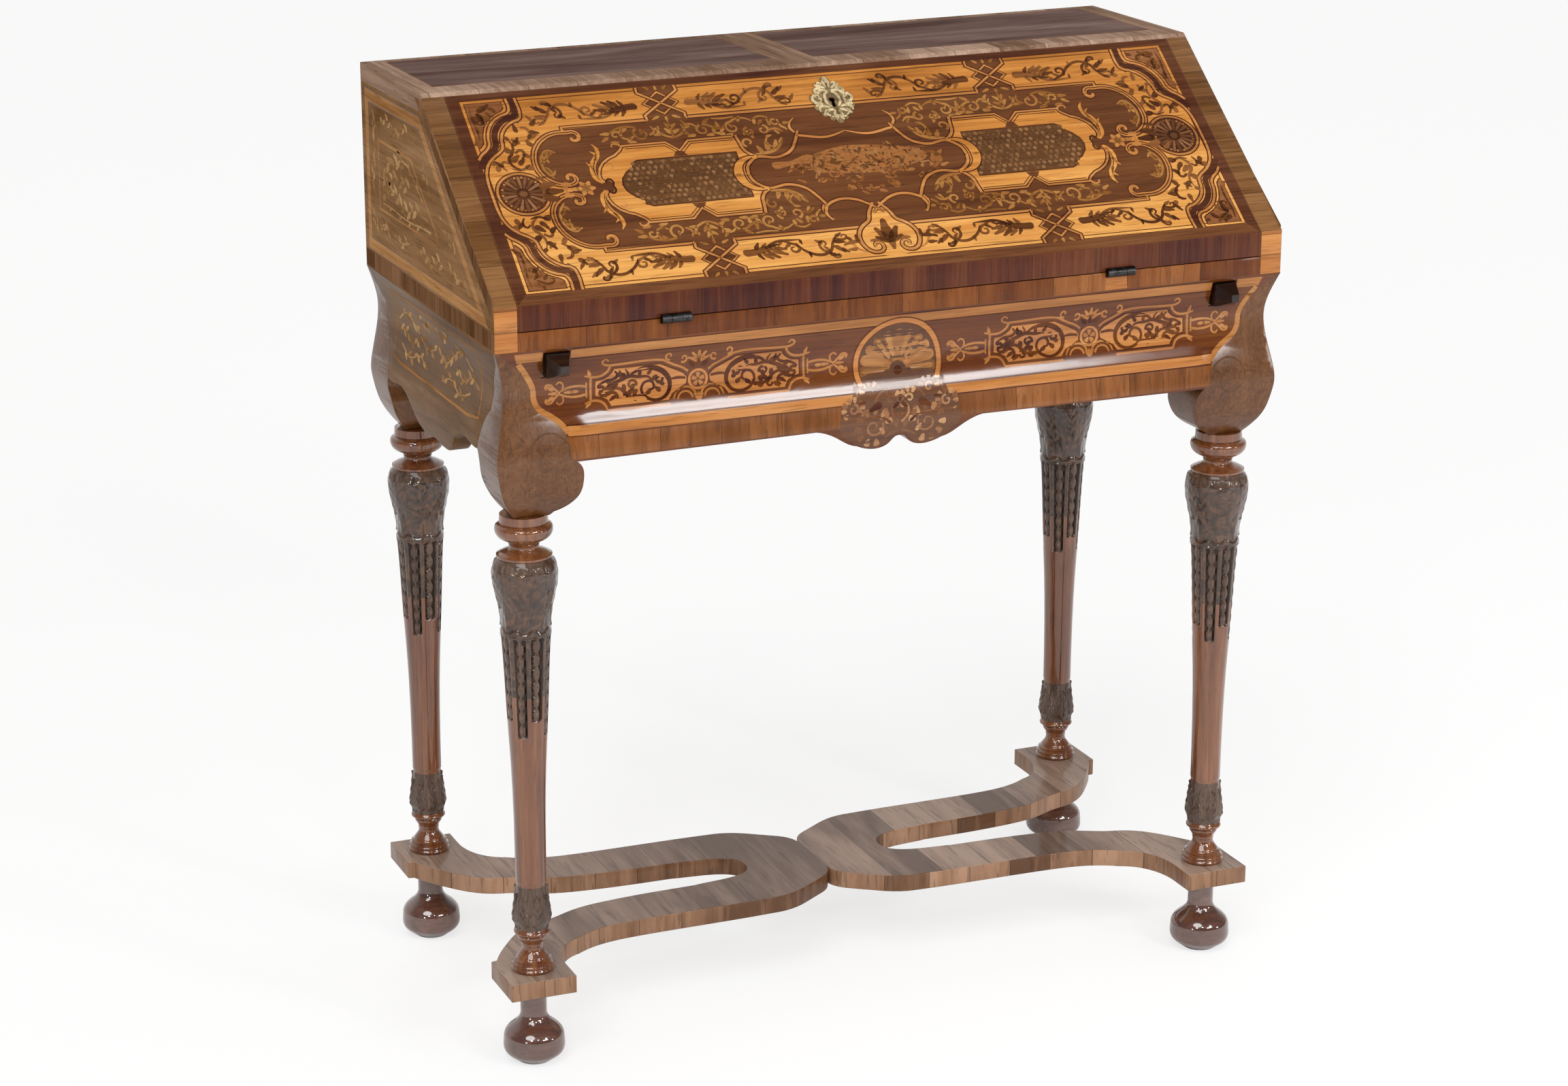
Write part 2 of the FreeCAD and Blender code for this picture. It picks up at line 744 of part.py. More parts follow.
def lock_bolt():
    """Bolt drawn back inside the lock, as it is when the fall can open."""
    top = fall_end - fall_edge_gap
    bolt = Part.makeBox(
        bolt_width, bolt_length, bolt_thickness,
        V(-bolt_width / 2, -bolt_length - fall_edge_gap, bolt_low))
    return sloped(bolt, top, 0)


def strike_plate():
    plate = Part.makeBox(
        strike_width, strike_thickness, strike_height, V(-strike_width / 2, 0, 0))
    slot = Part.makeBox(
        bolt_width + 2 * slide_clearance, 3 * strike_thickness,
        bolt_thickness + 2 * slide_clearance,
        V(-bolt_width / 2 - slide_clearance, -strike_thickness,
          bolt_low - slide_clearance - strike_low))
    return sloped(plate.cut(slot), fall_end, strike_low)


def escutcheon():
    edges = []
    for part_shares in escutcheon_shares:
        for side in (-1, 1):
            points = [V(side * escutcheon_width * a, escutcheon_height * b, 0) for a, b in part_shares]
            edges.append(stretch(points))
    plate = face_of(edges).extrude(V(0, 0, escutcheon_thickness))
    hole = keyhole(escutcheon_thickness + 2 * overrun)
    hole.translate(V(0, 0, -overrun))
    plate = sloped(plate.cut(hole), keyhole_along, fall_thickness)
    for pin in escutcheon_pins(dowel_clearance):
        plate = plate.cut(pin)
    return plate


def escutcheon_pins(clearance):
    pins = []
    for side_x in (-1, 1):
        for side_y in (-1, 1):
            pin = Part.makeCylinder(
                escutcheon_pin_radius + clearance,
                escutcheon_pin_depth + escutcheon_thickness + clearance,
                V(side_x * escutcheon_width * escutcheon_pin_share_x / 2,
                  side_y * escutcheon_height * escutcheon_pin_share_z, 0))
            pins.append(sloped(pin, keyhole_along, fall_thickness - escutcheon_pin_depth - clearance))
    return pins


def bay_width():
    return (2 * inner_half - (bay_count - 1) * upright_thickness) / bay_count


def bay_left(index):
    return -inner_half + index * (bay_width() + upright_thickness)


def upright(index):
    x0 = bay_left(index) - upright_thickness
    under = on_slope(fall_end, 0)
    return box(x0, x0 + upright_thickness, fitting_y, back_inner_y, writing_height, under[1])


def shelves():
    boards = []
    for index in range(bay_count):
        x0 = bay_left(index)
        boards.append(box(
            x0, x0 + bay_width(), fitting_y, back_inner_y, shelf_z, shelf_z + shelf_thickness))
    return boards


def drawer_sizes(index):
    x0 = bay_left(index) + drawer_gap
    x1 = bay_left(index) + bay_width() - drawer_gap
    z0 = writing_height + drawer_gap / 2
    z1 = shelf_z - drawer_gap
    return x0, x1, z0, z1


def drawer_front(index):
    x0, x1, z0, z1 = drawer_sizes(index)
    front = box(x0, x1, fitting_y, fitting_y + drawer_front_thickness, z0, z1)
    return front.cut(Part.makeCylinder(
        knob_neck_radius + dowel_clearance, drawer_front_thickness,
        V((x0 + x1) / 2, fitting_y, (z0 + z1) / 2), V(0, 1, 0)))


def drawer_tray(index):
    x0, x1, z0, z1 = drawer_sizes(index)
    y0 = fitting_y + drawer_front_thickness
    y1 = fitting_y + drawer_length
    tray = box(x0, x1, y0, y1, z0, z1 - drawer_gap)
    return tray.cut(box(
        x0 + drawer_wall, x1 - drawer_wall, y0 - overrun, y1 - drawer_wall,
        z0 + drawer_floor, z1 + overrun))


def drawer_knob(index):
    """Turned knob on a dowel: neck, swelling and rounded end."""
    x0, x1, z0, z1 = drawer_sizes(index)
    centre = V((x0 + x1) / 2, fitting_y, (z0 + z1) / 2)
    ball = Part.makeSphere(knob_radius, V(0, 0, knob_length - knob_radius))
    neck = Part.makeCylinder(knob_neck_radius, knob_length - knob_radius)
    dowel = Part.makeCylinder(knob_neck_radius, knob_dowel_length, V(0, 0, 0), V(0, 0, -1))
    below = Part.makeCylinder(2 * knob_radius, 2 * knob_radius, V(0, 0, 0), V(0, 0, -1))
    knob = ball.cut(below).fuse([neck, dowel]).removeSplitter()
    knob.rotate(V(0, 0, 0), V(1, 0, 0), 90)
    knob.translate(centre)
    return knob


def leg(x, y):
    body = lathe(leg_shares, leg_height, leg_radius, leg_bottom, x, y)
    tenon = Part.makeCylinder(leg_tenon_radius, leg_tenon_length, V(x, y, block_bottom))
    socket = Part.makeCylinder(
        foot_dowel_radius + dowel_clearance, foot_dowel_length + recess_gap, V(x, y, leg_bottom))
    return body.fuse(tenon).cut(socket).removeSplitter()


def foot(x, y):
    ball = lathe(foot_shares, foot_height, foot_radius, 0, x, y)
    dowel = Part.makeCylinder(
        foot_dowel_radius, stretcher_thickness + foot_dowel_length, V(x, y, foot_height))
    return ball.fuse(dowel).removeSplitter()


def stretcher():
    reach = leg_x + stretcher_reach
    outer_y = leg_spacing_y / 2 + stretcher_reach
    edges = []
    for sx in (-1, 1):
        for sy in (-1, 1):

            def place(a, b):
                along = stretcher_half_depth * min(b, 1) + stretcher_shoulder * max(b - 1, 0)
                return V(sx * reach * a, leg_plane_y + sy * along, foot_height)

            for part_shares in stretcher_front_shares + stretcher_back_shares:
                edges.append(stretch([place(a, b) for a, b in part_shares]))
            front_end = place(*stretcher_front_shares[-1][-1])
            back_start = place(*stretcher_back_shares[0][0])
            inner_corner = V(front_end.x, leg_plane_y + sy * outer_y, foot_height)
            outer_corner = V(sx * reach, leg_plane_y + sy * outer_y, foot_height)
            edges.append(stretch([front_end, inner_corner]))
            edges.append(stretch([inner_corner, outer_corner]))
            edges.append(stretch([outer_corner, back_start]))
    plate = face_of(edges).extrude(V(0, 0, stretcher_thickness))
    for x in (-leg_x, leg_x):
        for y in leg_ys:
            plate = plate.cut(Part.makeCylinder(
                foot_dowel_radius + dowel_clearance, stretcher_thickness, V(x, y, foot_height)))
    return plate


# Places on the slope that several pieces share
bolt_low = (lock_depth - bolt_thickness) / 2
strike_low = bolt_low + bolt_thickness / 2 - strike_height / 2
keyhole_along = fall_end - fall_edge_gap - keyhole_from_edge


def group(solids):
    return Part.makeCompound(solids)


def build():
    """Every piece under the name of its node."""
    case_leaf_spans = [knuckle_spans()[0], knuckle_spans()[2]]
    fall_leaf_spans = [knuckle_spans()[1]]
    nodes = {
        "top_board": top_board(),
        "case_side_right": case_side(),
        "case_side_left": mirror_x(case_side()),
        "back_panel": back_panel(),
        "front_rail": front_rail(),
        "writing_board": writing_board(),
        "well_cover": well_cover(),
        "case_bottom": case_bottom(),
        "front_frieze": front_frieze(),
        "side_frieze_right": side_frieze(),
        "side_frieze_left": mirror_x(side_frieze()),
        "back_rail": back_rail(),
        "stretcher": stretcher(),
        "loper_left": loper(),
        "loper_right": mirror_x(loper()),
        "loper_pull_left": loper_pull(),
        "loper_pull_right": mirror_x(loper_pull()),
        "loper_guide_left": loper_guide(),
        "loper_guide_right": mirror_x(loper_guide()),
        "fall_front": fall_front(),
        "lock_case": lock_case(),
        "lock_bolt": lock_bolt(),
        "strike_plate": strike_plate(),
        "escutcheon": escutcheon(),
        "escutcheon_pins": group(escutcheon_pins(0)),
        "pigeonhole_shelves": group(shelves()),
    }
    nodes["hinge_case_leaves"] = group(
        [onto_case(leaf_plate(case_leaf_spans, x)) for x in hinge_xs()])
    nodes["hinge_fall_leaves"] = group(
        [onto_fall(leaf_plate(fall_leaf_spans, x)) for x in hinge_xs()])
    nodes["hinge_pins"] = group([
        Part.makeCylinder(
            hinge_pin_radius, hinge_width, V(x - hinge_width / 2, hinge_y, hinge_z), V(1, 0, 0))
        for x in hinge_xs()])
    nodes["hinge_case_screws"] = group(
        [onto_case(s) for x in hinge_xs() for s in leaf_screws(x, 0)])
    nodes["hinge_fall_screws"] = group(
        [onto_fall(s) for x in hinge_xs() for s in leaf_screws(x, 0)])
    for name, left, back in (
            ("front_left", True, False), ("front_right", False, False),
            ("back_left", True, True), ("back_right", False, True)):
        x = -leg_x if left else leg_x
        y = leg_ys[1] if back else leg_ys[0]
        nodes["corner_block_" + name] = corner_block(left, back)
        nodes["leg_" + name] = leg(x, y)
        nodes["foot_" + name] = foot(x, y)
    for index in range(1, bay_count):
        nodes["pigeonhole_upright_%d" % index] = upright(index)
    for index in range(bay_count):
        number = index + 1
        nodes["drawer_front_%d" % number] = drawer_front(index)
        nodes["drawer_tray_%d" % number] = drawer_tray(index)
        nodes["drawer_knob_%d" % number] = drawer_knob(index)
    return nodes


os.makedirs("parts", exist_ok=True)
for node, shape in build().items():
    shape.exportStep("parts/%s.step" % node)
    print("%s: %d solid(s), volume %.0f, valid %s" % (
        node, len(shape.Solids), shape.Volume, shape.isValid()))
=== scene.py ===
# %% [markdown]
# # A slant-front desk with inlaid veneers
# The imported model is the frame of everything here: each wooden piece of the real desk is
# already a node in its place. This lesson gives those pieces their veneers, lays the
# marquetry on them, carves the legs, and lights the desk as a studio does.

# %% Load the frame
import json
from math import atan2, cos, exp, pi, radians, sin
from random import Random

import bmesh
import bpy
from mathutils import Matrix, Vector
from mathutils.bvhtree import BVHTree


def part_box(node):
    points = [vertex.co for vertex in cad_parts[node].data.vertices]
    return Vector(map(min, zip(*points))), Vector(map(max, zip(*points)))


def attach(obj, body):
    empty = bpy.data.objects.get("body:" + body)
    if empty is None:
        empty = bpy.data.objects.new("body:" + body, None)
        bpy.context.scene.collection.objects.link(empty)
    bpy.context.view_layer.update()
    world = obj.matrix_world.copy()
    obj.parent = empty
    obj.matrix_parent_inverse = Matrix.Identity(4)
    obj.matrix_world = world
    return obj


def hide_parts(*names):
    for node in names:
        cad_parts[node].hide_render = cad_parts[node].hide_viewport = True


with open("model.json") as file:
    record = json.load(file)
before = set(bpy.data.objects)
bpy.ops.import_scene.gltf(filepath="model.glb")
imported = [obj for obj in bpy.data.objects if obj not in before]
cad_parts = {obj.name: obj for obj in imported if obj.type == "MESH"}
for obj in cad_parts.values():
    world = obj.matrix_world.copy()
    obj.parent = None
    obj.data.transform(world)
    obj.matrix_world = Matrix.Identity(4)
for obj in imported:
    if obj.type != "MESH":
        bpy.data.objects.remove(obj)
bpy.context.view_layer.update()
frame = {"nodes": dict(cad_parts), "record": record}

# %% [markdown]
# Sizes come from the frame where it can tell them. A box gives the lowest and highest
# corner of a piece, so the carcase is measured and not typed again. Only the slope of the
# fall has to be named, because a box has no slope. One millimetre is a thousandth here.

# %% Measure the carcase
mm = 0.001
slant = radians(38.4)
fall_wood = 19.5 * mm

half_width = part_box("top_board")[1].x
total_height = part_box("top_board")[1].z
fall_low, fall_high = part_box("fall_front")
front_y = fall_low.y
back_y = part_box("case_side_right")[1].y
fall_half = fall_high.x
break_z = fall_low.z + fall_wood / cos(slant)
print("half width %.4f, front %.4f, fall foot %.4f" % (half_width, front_y, break_z))

# %% [markdown]
# The camera stands where the photographer stood: to the left of the desk, a little above
# it, on a long lens. The film is slid sideways, as on a view camera, so that the desk
# sits left of the middle without turning the lens away from it.

# %% Set up the camera
camera_data = bpy.data.cameras.new("camera")
camera = bpy.data.objects.new("camera", camera_data)
bpy.context.scene.collection.objects.link(camera)
bpy.context.scene.camera = camera
picture_width = 2304
focal_pixels = 5268.75
axis_pixel = 800
camera_data.sensor_width = 36.0
camera_data.lens = camera_data.sensor_width * focal_pixels / picture_width
camera_data.shift_x = (picture_width / 2 - axis_pixel) / picture_width
camera_data.clip_end = 100.0

camera_yaw, camera_pitch, camera_roll = radians(19.207), radians(17.354), radians(-1.082)
ahead = Vector((sin(camera_yaw) * cos(camera_pitch), cos(camera_yaw) * cos(camera_pitch),
                -sin(camera_pitch)))
level_right = Vector((cos(camera_yaw), -sin(camera_yaw), 0))
level_up = level_right.cross(ahead)
right = cos(camera_roll) * level_right + sin(camera_roll) * level_up
up = cos(camera_roll) * level_up - sin(camera_roll) * level_right
turned = Matrix((right, up, -ahead)).transposed().to_4x4()
camera_place = (-1.46988, -3.3335, 1.60117)
camera.matrix_world = Matrix.Translation(camera_place) @ turned
print("lens %.2f mm, shift %.4f" % (camera_data.lens, camera_data.shift_x))

# %% [markdown]
# The studio has a white sweep and large soft lamps. An even pale dome lights everything, and
# a broad sun from the left front gives the form its light side. Sun and dome light the
# whole floor alike, so no pool of light shows. Polish mirrors a room that is dim in front
# and bright behind, where the sweep is. Five small lamps give the sparks on turned wood, and
# one long strip lamp is mirrored as a line of light along the belly of the frieze.

# %% Light the studio
scene = bpy.context.scene
scene.view_settings.view_transform = "Standard"


def join(tree, value, socket):
    """Links an output to a socket, or sets a plain value on it."""
    if isinstance(value, bpy.types.NodeSocket):
        tree.links.new(value, socket)
    else:
        socket.default_value = value


def add_node(tree, kind, inputs=(), **settings):
    """A node with its settings, and its inputs linked or set by name or number."""
    node = tree.nodes.new(kind)
    for name, value in settings.items():
        setattr(node, name, value)
    for name, value in dict(inputs).items():
        join(tree, value, node.inputs[name])
    return node


def math(tree, operation, a, b=0.0):
    return add_node(tree, "ShaderNodeMath", {0: a, 1: b}, operation=operation).outputs[0]


world = bpy.data.worlds.new("studio")
scene.world = world
world.use_nodes = True
tree = world.node_tree
tree.nodes.clear()
path = add_node(tree, "ShaderNodeLightPath")
warm_white = (1.0, 0.99, 0.98, 1)
dome = add_node(tree, "ShaderNodeBackground", {"Color": warm_white, "Strength": 0.60})
towards_sky = add_node(tree, "ShaderNodeTexCoord").outputs["Generated"]
direction = add_node(tree, "ShaderNodeSeparateXYZ", {0: towards_sky})
sweep_glow = add_node(tree, "ShaderNodeMapRange", {
    "Value": direction.outputs["Y"], 1: 0.15, 2: 0.75, 3: 0.20, 4: 0.85}, interpolation_type="SMOOTHSTEP")
mirrored_room = add_node(tree, "ShaderNodeBackground", {
    "Color": warm_white, "Strength": sweep_glow.outputs["Result"]})
seen = add_node(tree, "ShaderNodeBackground", {"Color": (1, 1, 1, 1), "Strength": 1.0})
in_polish = add_node(tree, "ShaderNodeMixShader", {
    0: path.outputs["Is Glossy Ray"], 1: dome.outputs[0], 2: mirrored_room.outputs[0]})
which = add_node(tree, "ShaderNodeMixShader", {
    0: path.outputs["Is Camera Ray"], 1: in_polish.outputs[0], 2: seen.outputs[0]})
add_node(tree, "ShaderNodeOutputWorld", {"Surface": which.outputs[0]})


def lamp(name, kind, power, place, towards):
    """A lamp aimed from a place at a point. It gives its data back, for its size."""
    data = bpy.data.lights.new(name, kind)
    data.energy = power
    holder = bpy.data.objects.new(name, data)
    holder.location = place
    holder.rotation_euler = (Vector(towards) - Vector(place)).to_track_quat("-Z", "Y").to_euler()
    scene.collection.objects.link(holder)
    return data


lamp("key_lamp", "SUN", 1.11, (0, 0, 0), (0.50, 0.62, -0.95)).angle = radians(30)
mid_desk = (0, 0, 0.5)
low_desk = (0, 0, 0.4)
for name, place, towards, wide, tall, power in (
        ("strip_softbox", (1.28, -3.5, 2.00), (0, -0.2, 0.68), 1.4, 0.31, 44),
        ("left_lamp", (-2.1, -3.2, 2.2), mid_desk, 0.42, 0.42, 17),
        ("middle_lamp", (-0.5, -3.6, 2.7), mid_desk, 0.36, 0.36, 13),
        ("right_lamp", (1.6, -3.0, 2.6), mid_desk, 0.42, 0.42, 15),
        ("low_left_lamp", (-2.9, -2.4, 0.8), low_desk, 0.34, 0.34, 10),
        ("low_right_lamp", (3.0, -2.6, 1.0), low_desk, 0.34, 0.34, 10)):
    softbox = lamp(name, "AREA", power, place, towards)
    softbox.shape = "RECTANGLE"
    softbox.size = wide
    softbox.size_y = tall
print("world, a sun and six lamps")

# %% The floor
floor_half = 20.0
bm = bmesh.new()
bmesh.ops.create_grid(bm, x_segments=1, y_segments=1, size=floor_half)
floor_mesh = bpy.data.meshes.new("floor")
bm.to_mesh(floor_mesh)
bm.free()
floor = bpy.data.objects.new("floor", floor_mesh)
floor.location.z = -0.2 * mm
scene.collection.objects.link(floor)
paper = bpy.data.materials.new("white_paper")
paper.use_nodes = True
tree = paper.node_tree
tree.nodes.clear()
path = add_node(tree, "ShaderNodeLightPath")
matt = add_node(tree, "ShaderNodeBsdfDiffuse", {"Color": (0.92, 0.92, 0.92, 1)})
glow = add_node(tree, "ShaderNodeEmission", {"Color": (1, 1, 1, 1), "Strength": 1.0})
sweep_light = 0.70
lift = add_node(tree, "ShaderNodeMixShader", {0: sweep_light, 1: matt.outputs[0], 2: glow.outputs[0]})
seen_by = math(tree, "MAXIMUM", path.outputs["Is Camera Ray"], path.outputs["Is Transmission Ray"])
skin = add_node(tree, "ShaderNodeMixShader", {0: seen_by, 1: matt.outputs[0], 2: lift.outputs[0]})
add_node(tree, "ShaderNodeOutputMaterial", {"Surface": skin.outputs[0]})
floor.data.materials.append(paper)
print("floor")

# %% [markdown]
# Veneer is a thin sheet of wood with three things to see: the fibres, drawn out along the
# grain, a broader figure of light and dark, and the single sheet's own tone. One function
# builds all the woods from stretched noise on the object's coordinates. Its options cut
# the sheet into short cross-grain lengths, as a banding is, and give each inlaid bit a
# tone of its own. A thin coat stands for the polish.

# %% A function for the woods
def colour(red, green, blue):
    """A colour given as 0 to 255 screen values, in the linear values that shaders use."""
    def linear(value):
        share = value / 255
        return share / 12.92 if share <= 0.04045 else ((share + 0.055) / 1.055) ** 2.4
    return (linear(red), linear(green), linear(blue), 1)


polish_haze = 0.010


def undimmed(*screen):
    """A wood's colour less the pale haze that its polish adds to it in a white studio."""
    return tuple(max(share - polish_haze, share * 0.25) for share in colour(*screen)[:3]) + (1,)


def ramp(tree, factor, stops):
    """A colour ramp with (place, colour) stops."""
    node = add_node(tree, "ShaderNodeValToRGB", {"Fac": factor})
    elements = node.color_ramp.elements
    for place, tint in stops[1:-1]:
        elements.new(place).color = tint
    elements[0].position, elements[0].color = stops[0]
    elements[-1].position, elements[-1].color = stops[-1]
    return node.outputs["Color"]


def noise(tree, vector, scale, detail, rough, distortion=0.0):
    node = add_node(tree, "ShaderNodeTexNoise", {
        "Vector": vector, "Scale": scale, "Detail": detail, "Roughness": rough,
        "Distortion": distortion})
    return node.outputs["Fac"]


def mapping(tree, turn=(0, 0, 0), stretch=(1, 1, 1)):
    coordinates = add_node(tree, "ShaderNodeTexCoord")
    first = add_node(tree, "ShaderNodeMapping", {
        "Vector": coordinates.outputs["Object"], "Rotation": turn}, vector_type="POINT")
    node = add_node(tree, "ShaderNodeMapping", {
        "Vector": first.outputs[0], "Scale": stretch}, vector_type="POINT")
    return node.outputs[0], first.outputs[0]


seam_width = 0.8 * mm


def lengths_along(tree, vector, axis, pitch):
    """A tone for each length of a banding along an axis, and where its seams are."""
    parts = add_node(tree, "ShaderNodeSeparateXYZ", {0: vector})
    steps = math(tree, "DIVIDE", parts.outputs[axis], pitch)
    tone = add_node(tree, "ShaderNodeTexWhiteNoise", {"W": math(tree, "FLOOR", steps)},
                    noise_dimensions="1D")
    seam = math(tree, "ABSOLUTE", math(tree, "SUBTRACT", math(tree, "FRACT", steps), 0.5))
    return tone.outputs["Value"], math(tree, "GREATER_THAN", seam, 0.5 - seam_width / 2 / pitch)


def weighed(tree, first, second, share):
    """Two values mixed, with a share of the second."""
    rest = math(tree, "MULTIPLY", first, 1 - share)
    return math(tree, "ADD", rest, math(tree, "MULTIPLY", second, share))


def varied(tree, tone, by, amount):
    """A tone raised or lowered by another value between 0 and 1."""
    return math(tree, "ADD", tone, math(tree, "MULTIPLY", math(tree, "SUBTRACT", by, 0.5), amount))


finishes = {}
broad_figure = (4, 26)
climb = 1.4
pore_size = 3.1
pore_depth = 0.35
seam_depth = 0.75
bump_height = 0.6 * mm
bump_strength = 0.10


def wood(name, deep, mid, pale, along="X", turn=(0, 0, 0), figure=0.45, rough=0.42, coat=0.25, shine=0.16,
         haze=0.10, islands=0.0, lengths=None, tone_spread=0.35, pores=0.35, burr=0.0, knot=95.0,
         fibre=(7, 170), lighter_below=None, gloss=1.5):
    """A wood with its grain along one axis of its own turned coordinates, in three tones.

    figure is the share of the broad pattern, burr the share of knots, islands and tone_spread how much
    loose bits and lengths differ, and lighter_below a height under which the wood grows paler.
    """
    material = bpy.data.materials.new(name)
    material.use_nodes = True
    tree = material.node_tree
    shader = tree.nodes["Principled BSDF"]
    stretch = [fibre[axis != along] for axis in "XYZ"]
    fibres_at, straight = mapping(tree, turn, stretch)
    fibres = noise(tree, fibres_at, 1.0, 6.0, 0.62, 0.35)
    broad_at = add_node(tree, "ShaderNodeMapping", {
        "Vector": straight, "Scale": [broad_figure[axis != along] for axis in "XYZ"]}).outputs[0]
    broad = noise(tree, broad_at, 1.0, 3.0, 0.5, 0.8)
    if burr:
        knots = noise(tree, straight, knot, 5.0, 0.7, 2.2)
        fibres = weighed(tree, fibres, knots, burr)
    tone = weighed(tree, fibres, broad, figure)
    if islands:
        bit = add_node(tree, "ShaderNodeNewGeometry").outputs["Random Per Island"]
        tone = varied(tree, tone, bit, islands)
    seam = None
    if lengths:
        sheet, seam = lengths_along(tree, straight, *lengths)
        tone = varied(tree, tone, sheet, tone_spread)
    if lighter_below:
        place = add_node(tree, "ShaderNodeTexCoord").outputs["Object"]
        height = add_node(tree, "ShaderNodeSeparateXYZ", {0: place}).outputs["Z"]
        drop = math(tree, "SUBTRACT", lighter_below, height)
        tone = math(tree, "ADD", tone, math(tree, "MULTIPLY", drop, climb))
    tint = ramp(tree, tone, [(0.32, undimmed(*deep)), (0.50, undimmed(*mid)), (0.70, undimmed(*pale))])
    specks = noise(tree, fibres_at, pore_size, 2.0, 0.5)
    pore = math(tree, "MULTIPLY", math(tree, "GREATER_THAN", specks, 0.62), pores)
    dark = pore if seam is None else math(tree, "MAXIMUM", pore, math(tree, "MULTIPLY", seam, seam_depth))
    mixed = add_node(tree, "ShaderNodeMix", {
        0: dark, 6: tint, 7: [share * pore_depth for share in colour(*deep)[:3]] + [1]}, data_type="RGBA")
    tree.links.new(mixed.outputs[2], shader.inputs["Base Color"])
    wear = noise(tree, straight, 14.0, 3.0, 0.6)
    join(tree, math(tree, "ADD", rough - 0.10, math(tree, "MULTIPLY", wear, 0.20)),
         shader.inputs["Roughness"])
    grain_bump = add_node(tree, "ShaderNodeBump", {
        "Height": fibres, "Strength": bump_strength, "Distance": bump_height})
    tree.links.new(grain_bump.outputs[0], shader.inputs["Normal"])
    for socket, value in (
            ("Specular IOR Level", shine), ("Coat Weight", coat), ("Coat Roughness", haze),
            ("Coat IOR", gloss)):
        shader.inputs[socket].default_value = value
    finishes[name] = material


up_slope = (-slant, 0, 0)
# Woods with no gloss in the shader. On the top fields and the flat sides, the sheen of the polish is
# painted into the colour instead.
no_gloss = {"coat": 0.0, "shine": 0.0}
frieze_polish = {"coat": 0.8, "shine": 0.0, "haze": 0.15}
shell_polish = {"coat": 0.6, "haze": 0.15}
wood("walnut_field", (74, 44, 27), (96, 59, 37), (116, 75, 47), turn=up_slope, figure=0.6)
wood("fruitwood_orange", (143, 88, 39), (182, 120, 58), (209, 153, 84), turn=up_slope, islands=0.06,
     lighter_below=0.905)
wood("walnut_border", (58, 33, 23), (80, 47, 33), (102, 65, 45), turn=up_slope, islands=0.12)
wood("lower_border", (77, 47, 30), (104, 66, 42), (125, 86, 57), turn=up_slope)
wood("pale_string", (132, 81, 41), (173, 115, 62), (196, 142, 88), turn=up_slope, islands=0.10, pores=0.2)
wood("dark_line", (50, 28, 16), (76, 44, 24), (96, 58, 34), turn=up_slope, islands=0.15, pores=0.2)
wood("ebony_scroll", (72, 42, 23), (104, 64, 35), (134, 87, 50), turn=up_slope, islands=0.30, pores=0.2)
wood("light_scroll", (112, 70, 33), (147, 99, 52), (169, 122, 67), turn=up_slope, islands=0.22, pores=0.2)
wood("red_orange", (104, 62, 37), (129, 82, 52), (148, 102, 69), turn=up_slope, islands=0.1)
wood("shell_rib", (86, 56, 34), (113, 76, 48), (137, 97, 65), turn=up_slope, islands=0.4)
wood("diaper_dark", (64, 43, 27), (91, 62, 39), (113, 78, 50), turn=up_slope, burr=0.7)
wood("diaper_disc", (88, 58, 36), (114, 78, 50), (134, 96, 64), turn=up_slope, islands=0.5)
wood("worn_patch", (104, 62, 33), (134, 84, 46), (158, 106, 62), turn=up_slope, burr=0.8, figure=0.3,
     islands=0.2)
wood("faded_scroll", (97, 61, 33), (126, 84, 48), (148, 105, 65), turn=up_slope, islands=0.5)
# The top's fields are dark wood with a painted sheen: the purplish grey haze that their polish mirrors is
# in the colour.
wood("top_field_and_sheen", (84, 66, 61), (107, 87, 82), (130, 109, 101), figure=0.7, **no_gloss)
wood("top_banding", (110, 86, 70), (140, 114, 97), (170, 143, 124), along="Y", lengths=("X", 0.052),
     tone_spread=0.25, **no_gloss)
wood("top_line", (104, 76, 54), (138, 104, 78), (160, 126, 96), **no_gloss)
# The flat side's walnut holds a painted sheen: the pale haze of its polish is mixed into its colour, and
# the shader gives it no gloss.
wood("side_walnut_and_sheen", (98, 71, 47), (130, 98, 70), (156, 122, 90), along="Y", figure=0.6, burr=0.3,
     **no_gloss)
wood("side_border", (86, 60, 43), (112, 82, 60), (134, 100, 75), along="Z", lengths=("Y", 0.047),
     tone_spread=0.2, **no_gloss)
wood("side_string", (122, 84, 52), (154, 112, 74), (176, 134, 90), along="Y", islands=0.1, **no_gloss)
wood("side_foliage", (122, 90, 60), (149, 114, 79), (172, 138, 98), islands=0.45, along="Y", **no_gloss)
wood("side_frieze_wood", (75, 51, 30), (99, 71, 45), (124, 93, 63), along="Y", figure=0.6, burr=0.3,
     coat=0.1, shine=0.05)
wood("slope_banding", (78, 49, 27), (104, 70, 41), (131, 93, 59), turn=up_slope, lengths=("Y", 0.056),
     tone_spread=0.40)
wood("edge_banding", (58, 29, 18), (83, 44, 27), (101, 60, 37), along="Z", lengths=("X", 0.071),
     tone_spread=0.2, coat=0.15)
wood("rail_banding", (85, 47, 25), (112, 65, 34), (137, 88, 51), along="Z", lengths=("X", 0.083),
     tone_spread=0.30, fibre=(7, 90), coat=0.15)
wood("frieze_field", (70, 37, 19), (93, 52, 27), (112, 69, 39), figure=0.55, **frieze_polish)
wood("frieze_banding", (96, 57, 30), (118, 73, 41), (139, 90, 53), along="Z", lengths=("X", 0.064),
     tone_spread=0.22, coat=0.6, shine=0.0, haze=0.13, fibre=(7, 90))
wood("frieze_orange", (135, 84, 46), (167, 110, 61), (188, 136, 88), islands=0.10, **frieze_polish)
wood("frieze_string", (125, 78, 40), (154, 101, 55), (174, 125, 78), islands=0.08, **frieze_polish)
